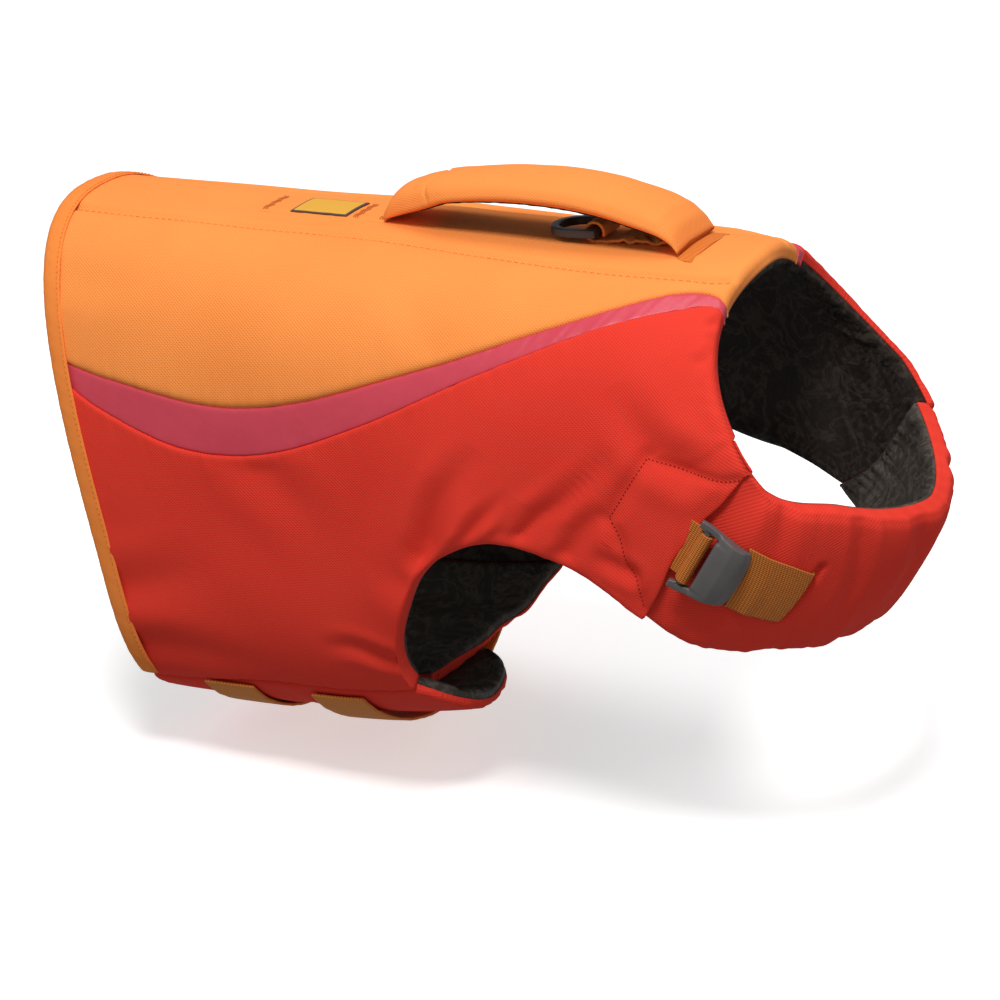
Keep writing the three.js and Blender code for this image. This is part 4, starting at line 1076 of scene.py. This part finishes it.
def wovenPatch(name, field, border):
    material, shader = newMaterial(name, field, 0.6, Specular_IOR_Level=0.25)
    along, across = cutCoordinates(material)

    def fromEdge(coordinate, size):
        offMiddle = calc(material, "ABSOLUTE", calc(material, "SUBTRACT", coordinate, size / 2))
        return calc(material, "SUBTRACT", size / 2, offMiddle)

    away = calc(material, "MINIMUM", fromEdge(along, (labelPlace["toX"] - labelPlace["fromX"]) * mm),
                fromEdge(across, labelPlace["wide"] * mm))
    off = calc(material, "ABSOLUTE", calc(material, "SUBTRACT", away, labelPlace["border"] * mm))
    line = calc(material, "LESS_THAN", off, labelPlace["line"] / 2 * mm)
    weave = times(material, ripple(material, along, 0.5 * mm), ripple(material, across, 0.5 * mm))
    emboss(material, shader, weave, 0.05 * mm)
    tint(material, shader, line, border, field)
    return material


patch = wovenPatch("plainPatch", (0.78, 0.40, 0.045), (0.085, 0.055, 0.05))
layStrip("wovenLabel", "label", patch, labelPlace["fromX"], labelPlace["toX"], labelPlace["wide"],
         1.2, 0.7, (56, 40), 0.06, 217)


# A CAD node's mesh, merged, in a copy
def mergedNode(node):
    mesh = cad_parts[node].data.copy()
    bm = bmesh.new()
    bm.from_mesh(mesh)
    bmesh.ops.remove_doubles(bm, verts=bm.verts[:], dist=1e-5)
    return mesh, bm


# The belly buckles: the CAD shape with its edges rounded
def roundNode(name, node, material, width=0.8, segments=3):
    mesh, bm = mergedNode(node)
    bmesh.ops.dissolve_limit(bm, angle_limit=math.radians(1.5), verts=bm.verts[:], edges=bm.edges[:])
    sharp = [edge for edge in bm.edges if len(edge.link_faces) == 2 and edge.calc_face_angle() > math.radians(20)]
    bmesh.ops.bevel(bm, geom=sharp, offset=width * mm, offset_type="OFFSET", segments=segments, profile=0.5,
                    affect="EDGES", clamp_overlap=True, material=-1)
    bmesh.ops.triangulate(bm, faces=[face for face in bm.faces if len(face.verts) > 4])
    smoothInto(mesh, bm)
    piece = dress(name, mesh, material)
    weighted = piece.modifiers.new("shading", "WEIGHTED_NORMAL")
    weighted.keep_sharp = False
    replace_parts(piece, node)


roundNode("bellyBuckleRear", "belly_buckle_rear", bucklePlastic)
roundNode("bellyBuckleFront", "belly_buckle_front", bucklePlastic)
print("hard pieces made")

# Leash ring tab: crumpled orange webbing, a loop round the ring's bar and a strip forward under the handle
tabSettings = dict(barX=24, barRise=5.1, radius=3.95, toX=66, wide=18, steps=(110, 26), crumple=0.55)


def layTab():
    barZ = backTop(tabSettings["barX"]) + tabSettings["barRise"]
    turn = np.linspace(math.radians(-20), math.radians(300), 50)
    loop = np.stack([tabSettings["barX"] + tabSettings["radius"] * np.cos(turn),
                     barZ + tabSettings["radius"] * np.sin(turn)], axis=-1)
    x = np.linspace(tabSettings["barX"] + 7, tabSettings["toX"], 60)
    strip = np.stack([x, backTop(x) + 1.5], axis=-1)
    path = np.concatenate([loop, strip])
    steps = runAlong(path)
    even = np.linspace(0, steps[-1], tabSettings["steps"][0] + 1)
    px, pz = np.interp(even, steps, path[:, 0]), np.interp(even, steps, path[:, 1])
    y = np.linspace(-0.5, 0.5, tabSettings["steps"][1] + 1) * tabSettings["wide"]
    x = np.broadcast_to(px[:, None], (px.size, y.size)).copy()
    z = np.broadcast_to(pz[:, None], x.shape).copy()
    y = np.broadcast_to(y[None, :], x.shape)
    onStrip = smoothStep(tabSettings["barX"] + 6, tabSettings["barX"] + 14, x) * smoothStep(66, 60, x)
    bumps = wavy(x * mm + y * 0.6 * mm, 231, (5.9, 8.3, 13.1)) + wavy(x * mm - y * 0.8 * mm, 233, (7.3, 11.9))
    z += onStrip * (1.1 + 1.5 * tabSettings["crumple"] * bumps)
    points = np.stack([x, y, z], axis=-1) * mm
    facing = np.zeros_like(points)
    facing[-40:, :, 2] = 1.0
    piece = layPiece("ringTab", points, orange, 1.3, facing)
    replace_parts(piece, "ring_tab")


layTab()


# The neck adjuster: the frame that the buckle stands in, as in the CAD part
neckWebRows = curveThrough([
    # along, topAt, topShare, lowAt, lowShare
    (0, 4.92, 0.515, 4.37, 0.56), (0.18, 5.05, 0.536, 4.44, 0.58), (0.5, 5.31, 0.58, 4.71, 0.626),
    (0.75, 5.45, 0.65, 4.88, 0.672), (1, 5.5, 0.716, 5.01, 0.716),
])
neckBuckle = dict(along=0.27, long=27, barThick=3)


def neckFrame():
    topAt, topShare, lowAt, lowShare = neckWebRows(neckBuckle["along"])
    at, share = (topAt + lowAt) / 2, -(topShare + lowShare) / 2
    out = formAt(at, share)[1]
    out /= np.linalg.norm(out)
    across = onForm(topAt, -topShare) - onForm(lowAt, -lowShare)
    across -= out * across.dot(out)
    across /= np.linalg.norm(across)
    forward = np.cross(across, out)
    place = onForm(at, share, 1.0 + 0.3 + 0.6)
    return place, forward, out, -across


# A moulded part: the CAD shape with every edge softened
def softMesh(node, voxel, rounds):
    mesh, bm = mergedNode(node)
    bm.to_mesh(mesh)
    bm.free()
    blank = addObject(node + "Blank", mesh)
    soften = blank.modifiers.new("soften", "REMESH")
    soften.mode = "VOXEL"
    soften.voxel_size = voxel * mm
    graph = bpy.context.evaluated_depsgraph_get()
    mesh = bpy.data.meshes.new_from_object(blank.evaluated_get(graph))
    bpy.data.objects.remove(blank)
    bm = bmesh.new()
    bm.from_mesh(mesh)
    for turn in range(rounds):
        bmesh.ops.smooth_vert(bm, verts=bm.verts[:], factor=0.5, use_axis_x=True, use_axis_y=True, use_axis_z=True)
    smoothInto(mesh, bm)
    return mesh


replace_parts(dress("leashRing", softMesh("leash_ring", 0.34, 9), ringPlastic, "leash_ring"),
            "leash_ring")

# The neck buckle: the CAD frame softened, its plate arched and its front edge curved
buckleSettings = dict(voxel=0.42, smooth=4, arch=3.2, reach=1.2, slot=1.4, bar=3.2, front=1.4, corner=1.0,
                      flare=1.09, taper=0.9)


def mouldNeckBuckle():
    place, forward, out, across = neckFrame()
    mesh = softMesh("neck_buckle", buckleSettings["voxel"], buckleSettings["smooth"])
    spots = np.empty(len(mesh.vertices) * 3)
    mesh.vertices.foreach_get("co", spots)
    spots = spots.reshape(-1, 3)
    local = (spots - place) / mm
    f, up, side = local @ forward, local @ out, local @ across
    bulge = np.clip(1 - (side / 18) ** 2, 0, 1)
    top = smoothStep(2.2, 4.2, up) * smoothStep(-3.5, 0, f)
    lift = buckleSettings["arch"] * top * np.clip(1 - ((f - 6) / 10) ** 2, 0, 1) * bulge ** 0.6
    lift = lift - 1.2 * top * smoothStep(11, 14, f)
    ahead = buckleSettings["front"] * bulge * smoothStep(6, 13, f)
    ahead = ahead - buckleSettings["corner"] * smoothStep(11, 17, np.abs(side)) * smoothStep(4, 13, f)
    ahead = ahead - buckleSettings["reach"] * smoothStep(3, -1.5, f) * smoothStep(-8, -3, f)
    ahead = ahead + buckleSettings["bar"] * smoothStep(-9.4, -10.4, f) * smoothStep(13.8, 12.8, np.abs(side))
    inSlot = smoothStep(4.0, 1.0, f) * smoothStep(-3, -0.5, f) * smoothStep(13.5, 12, np.abs(side))
    ahead = ahead - buckleSettings["slot"] * inSlot
    spread = side * (mix(buckleSettings["flare"], buckleSettings["taper"], smoothStep(-12, 12, f)) - 1)
    spots = spots + (forward * ahead[:, None] + out * lift[:, None] + across * spread[:, None]) * mm
    mesh.vertices.foreach_set("co", spots.ravel())
    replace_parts(dress("neckBuckle", mesh, bucklePlastic), "neck_buckle")


mouldNeckBuckle()


def layNeckWebs():
    place, forward, out, across = neckFrame()
    rear = -neckBuckle["long"] / 2
    front = rear + neckBuckle["barThick"]
    loop = curveThrough([
        # round, forward, out: from under the sleeve, over the bar, down through the window and back
        (0, rear - 7, -5.6), (0.12, rear - 2.5, -5.2), (0.22, rear + 1.4, -3.2), (0.33, rear + 1.9, 1.0),
        (0.42, rear + 2.9, 3.7), (0.52, front + 1.8, 4.8), (0.62, front + 3.9, 4.4), (0.71, front + 5.2, 2.2),
        (0.8, front + 4.6, -0.6), (0.89, front - 0.5, -3.1), (1, rear - 4, -5.0),
    ])
    f, up = loop(np.linspace(0, 1, 90))
    side = np.linspace(-13, 13, 40)
    spot = (f[:, None, None] * forward + up[:, None, None] * out + side[None, :, None] * across) * mm
    points = place + spot
    facing = np.zeros_like(points)
    facing[20:40] = out
    plan = runsOf(points)
    piece = layPiece("neckWebShort", points, webbing, 1.3, facing, cutPlan=(plan[1], plan[0]))
    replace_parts(piece, "neck_web_short")

    along = np.linspace(0.52, 1, 80)
    topAt, topShare, lowAt, lowShare = (column[:, None] for column in neckWebRows(along))
    g = np.linspace(0, 1, 44)[None, :]
    at, share = mix(topAt, lowAt, g), -mix(topShare, lowShare, g)
    flat, facing = formAt(at, share)
    lift = 1.6 + 0.3 + 1.4 + 0.9 * np.exp(-((along[:, None] - 0.66) / 0.05) ** 2) * (0.3 + 0.7 * g)
    lift = lift - 4.6 * smoothStep(0.955, 1.0, along)[:, None]
    points = onForm(at, share, lift + 0.1 * wavy(flat[..., 0], 241))
    plan = runsOf(flat)
    piece = layPiece("neckWebLong", points, webbing, 1.3, facing, cutPlan=(plan[1], plan[0]))
    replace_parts(piece, "neck_web_long")


layNeckWebs()

# Belly straps and the short stretches above the buckles
bellyStraps = [dict(name="Rear", node="rear", ring=0.79, sag=0.6), dict(name="Front", node="front", ring=1.71, sag=5)]
strapRun = dict(start=0.757, end=1.262, lean=0.09, half=0.21)


def layGirthStrip(name, node, ring, start, end, outOf, steps):
    f = np.linspace(0, 1, steps[0] + 1)[:, None]
    side = np.linspace(-1, 1, steps[1] + 1)[None, :]
    f, side = np.broadcast_arrays(f, side)
    at = ring + strapRun["lean"] * np.sin(math.pi * f) + side * strapRun["half"]
    share = mix(start, end, f)
    flat, facing = formAt(at, share)
    points = onForm(at, share, outOf(f) + 1.4 + 0.2 * wavy(flat[..., 1], 251))
    piece = layPiece(name, points, orangeWebbing, 1.3, facing)
    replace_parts(piece, node)


for strap in bellyStraps:
    sag = strap["sag"]
    layGirthStrip("bellyStrap" + strap["name"], "belly_strap_" + strap["node"], strap["ring"], -strapRun["start"],
                  -strapRun["end"], lambda f: 1.3 + sag * np.sin(math.pi * np.minimum(f * 1.15, 1)) ** 2,
                  (160, 24))
    layGirthStrip("bellyAnchor" + strap["name"], "belly_anchor_" + strap["node"], strap["ring"], 0.62, 0.57,
                  lambda f: 1.5 + 0 * f, (24, 24))
print("webbing made")


# Stitching: small rounded stitches joined into one piece for each thread
stitchSettings = dict(wide=0.6, high=0.5, lift=0.18)


def lineBesideEdge(panel, edge, away):
    points, outward = panel["points"], panel["outward"]
    if edge in ("start", "end"):
        points, outward = points.transpose(1, 0, 2), outward.transpose(1, 0, 2)
    if edge in ("end", "low"):
        points, outward = points[:, ::-1], outward[:, ::-1]
    line, normals = [], []
    for row, facing in zip(points, outward):
        run = runAlong(row)
        line.append([np.interp(away * mm, run, row[:, axis]) for axis in range(3)])
        normals.append([np.interp(away * mm, run, facing[:, axis]) for axis in range(3)])
    return np.array(line), np.array(normals)


def lineOnPanel(panel, path, samples=80):
    at, share = pathPlaces(path, samples)
    spots = onForm(at, share)
    flat = panel["flat"].reshape(-1, 3)
    nearest = [int(np.argmin(np.sum((flat - spot) ** 2, axis=1))) for spot in spots]
    out = panel["out"].reshape(-1)[nearest]
    return onForm(at, share, out), onForm(at, share, out + 1) - onForm(at, share, out)


def sew(bm, line, normals, pitch, long):
    pitch, length = pitch * mm, long * mm
    run = runAlong(line)
    for start in np.arange(0.5 * mm, run[-1] - length, pitch):
        a, b = (Vector([np.interp(at, run, line[:, axis]) for axis in range(3)]) for at in (start, start + length))
        normal = Vector([np.interp(start + length / 2, run, normals[:, axis]) for axis in range(3)])
        if normal.length < 1e-9 or (b - a).length < 1e-5:
            continue
        ahead = (b - a).normalized()
        normal = (normal - ahead * normal.dot(ahead)).normalized()
        side = normal.cross(ahead)
        centre = (a + b) / 2 + normal * stitchSettings["lift"] * mm
        place = Matrix((side * stitchSettings["wide"] / 2 * mm, normal * stitchSettings["high"] / 2 * mm,
                        ahead * length / 2)).transposed().to_4x4()
        place.translation = centre
        bmesh.ops.create_uvsphere(bm, u_segments=6, v_segments=4, radius=1, matrix=place)


def finishStitches(name, bm, material):
    mesh = bpy.data.meshes.new(name)
    smoothInto(mesh, bm)
    dress(name, mesh, material)


def lineAcross(x, wide, lift):
    y = np.linspace(-wide / 2, wide / 2, 40)
    x = x + 0.5 * np.sin(y * 0.9)
    line = np.stack([x, y, backTop(x) + lift - 1.6 * (y / 24) ** 2], axis=-1) * mm
    return line, np.broadcast_to(np.array([0, 0, 1.0]), line.shape)


bm = bmesh.new()
for side in (-1, 1):
    path = [(at, side * float(channelLine(at)[0])) for at in np.linspace(0.12, 5.75, 12)]
    sew(bm, *lineOnPanel(panels["back"], path, 260), 3.6, 2.4)
sew(bm, *lineBesideEdge(panels["hem"], "high", 1.4), 2.8, 1.9)
finishStitches("orangeStitches", bm, orangeThread)

bm = bmesh.new()
for x in (-149.2, -148.2, -147.2, -100.4, -99.4, -98.4):
    sew(bm, *lineAcross(x, 25, 1.15), 1.5, 1.2)
for x in (-86.5, -85.3):
    sew(bm, *lineAcross(x, 24, 1.15), 1.6, 1.2)
finishStitches("strapBartacks", bm, darkOrangeThread)

bm = bmesh.new()
for path in (patchOutline, patchLowLine, patchTopLine):
    sew(bm, *lineOnPanel(panels["sideRight"], [(a, -s) for a, s in path]), 2.0, 0.9)
for name in ("flapRight", "flapLeft"):
    sew(bm, *lineBesideEdge(panels[name], "low", 5.8 + 2.0), 3.0, 2.0)
finishStitches("redStitches", bm, redThread)
print("stitching made")

# Floor
floorSettings = dict(size=6.0, glow=0.5, z=cadBox[0][2] - 0.02)


def layFloor():
    material, shader = newMaterial("paleFloor", (0.94, 0.94, 0.94), 0.85)
    tint(material, shader, cloudy(material, 2), (0.95, 0.95, 0.95), (0.93, 0.93, 0.93))
    shader.inputs["Emission Color"].default_value = (1, 1, 1, 1)
    shader.inputs["Emission Strength"].default_value = floorSettings["glow"]
    bm = bmesh.new()
    bmesh.ops.create_grid(bm, x_segments=2, y_segments=2, size=floorSettings["size"])
    bmesh.ops.translate(bm, verts=bm.verts[:], vec=(0, 0, floorSettings["z"]))
    mesh = bpy.data.meshes.new("floor")
    bm.to_mesh(mesh)
    bm.free()
    mesh.materials.append(material)
    floor = addObject("floor", mesh)
    floor.visible_diffuse = False
    floor.visible_glossy = False


layFloor()
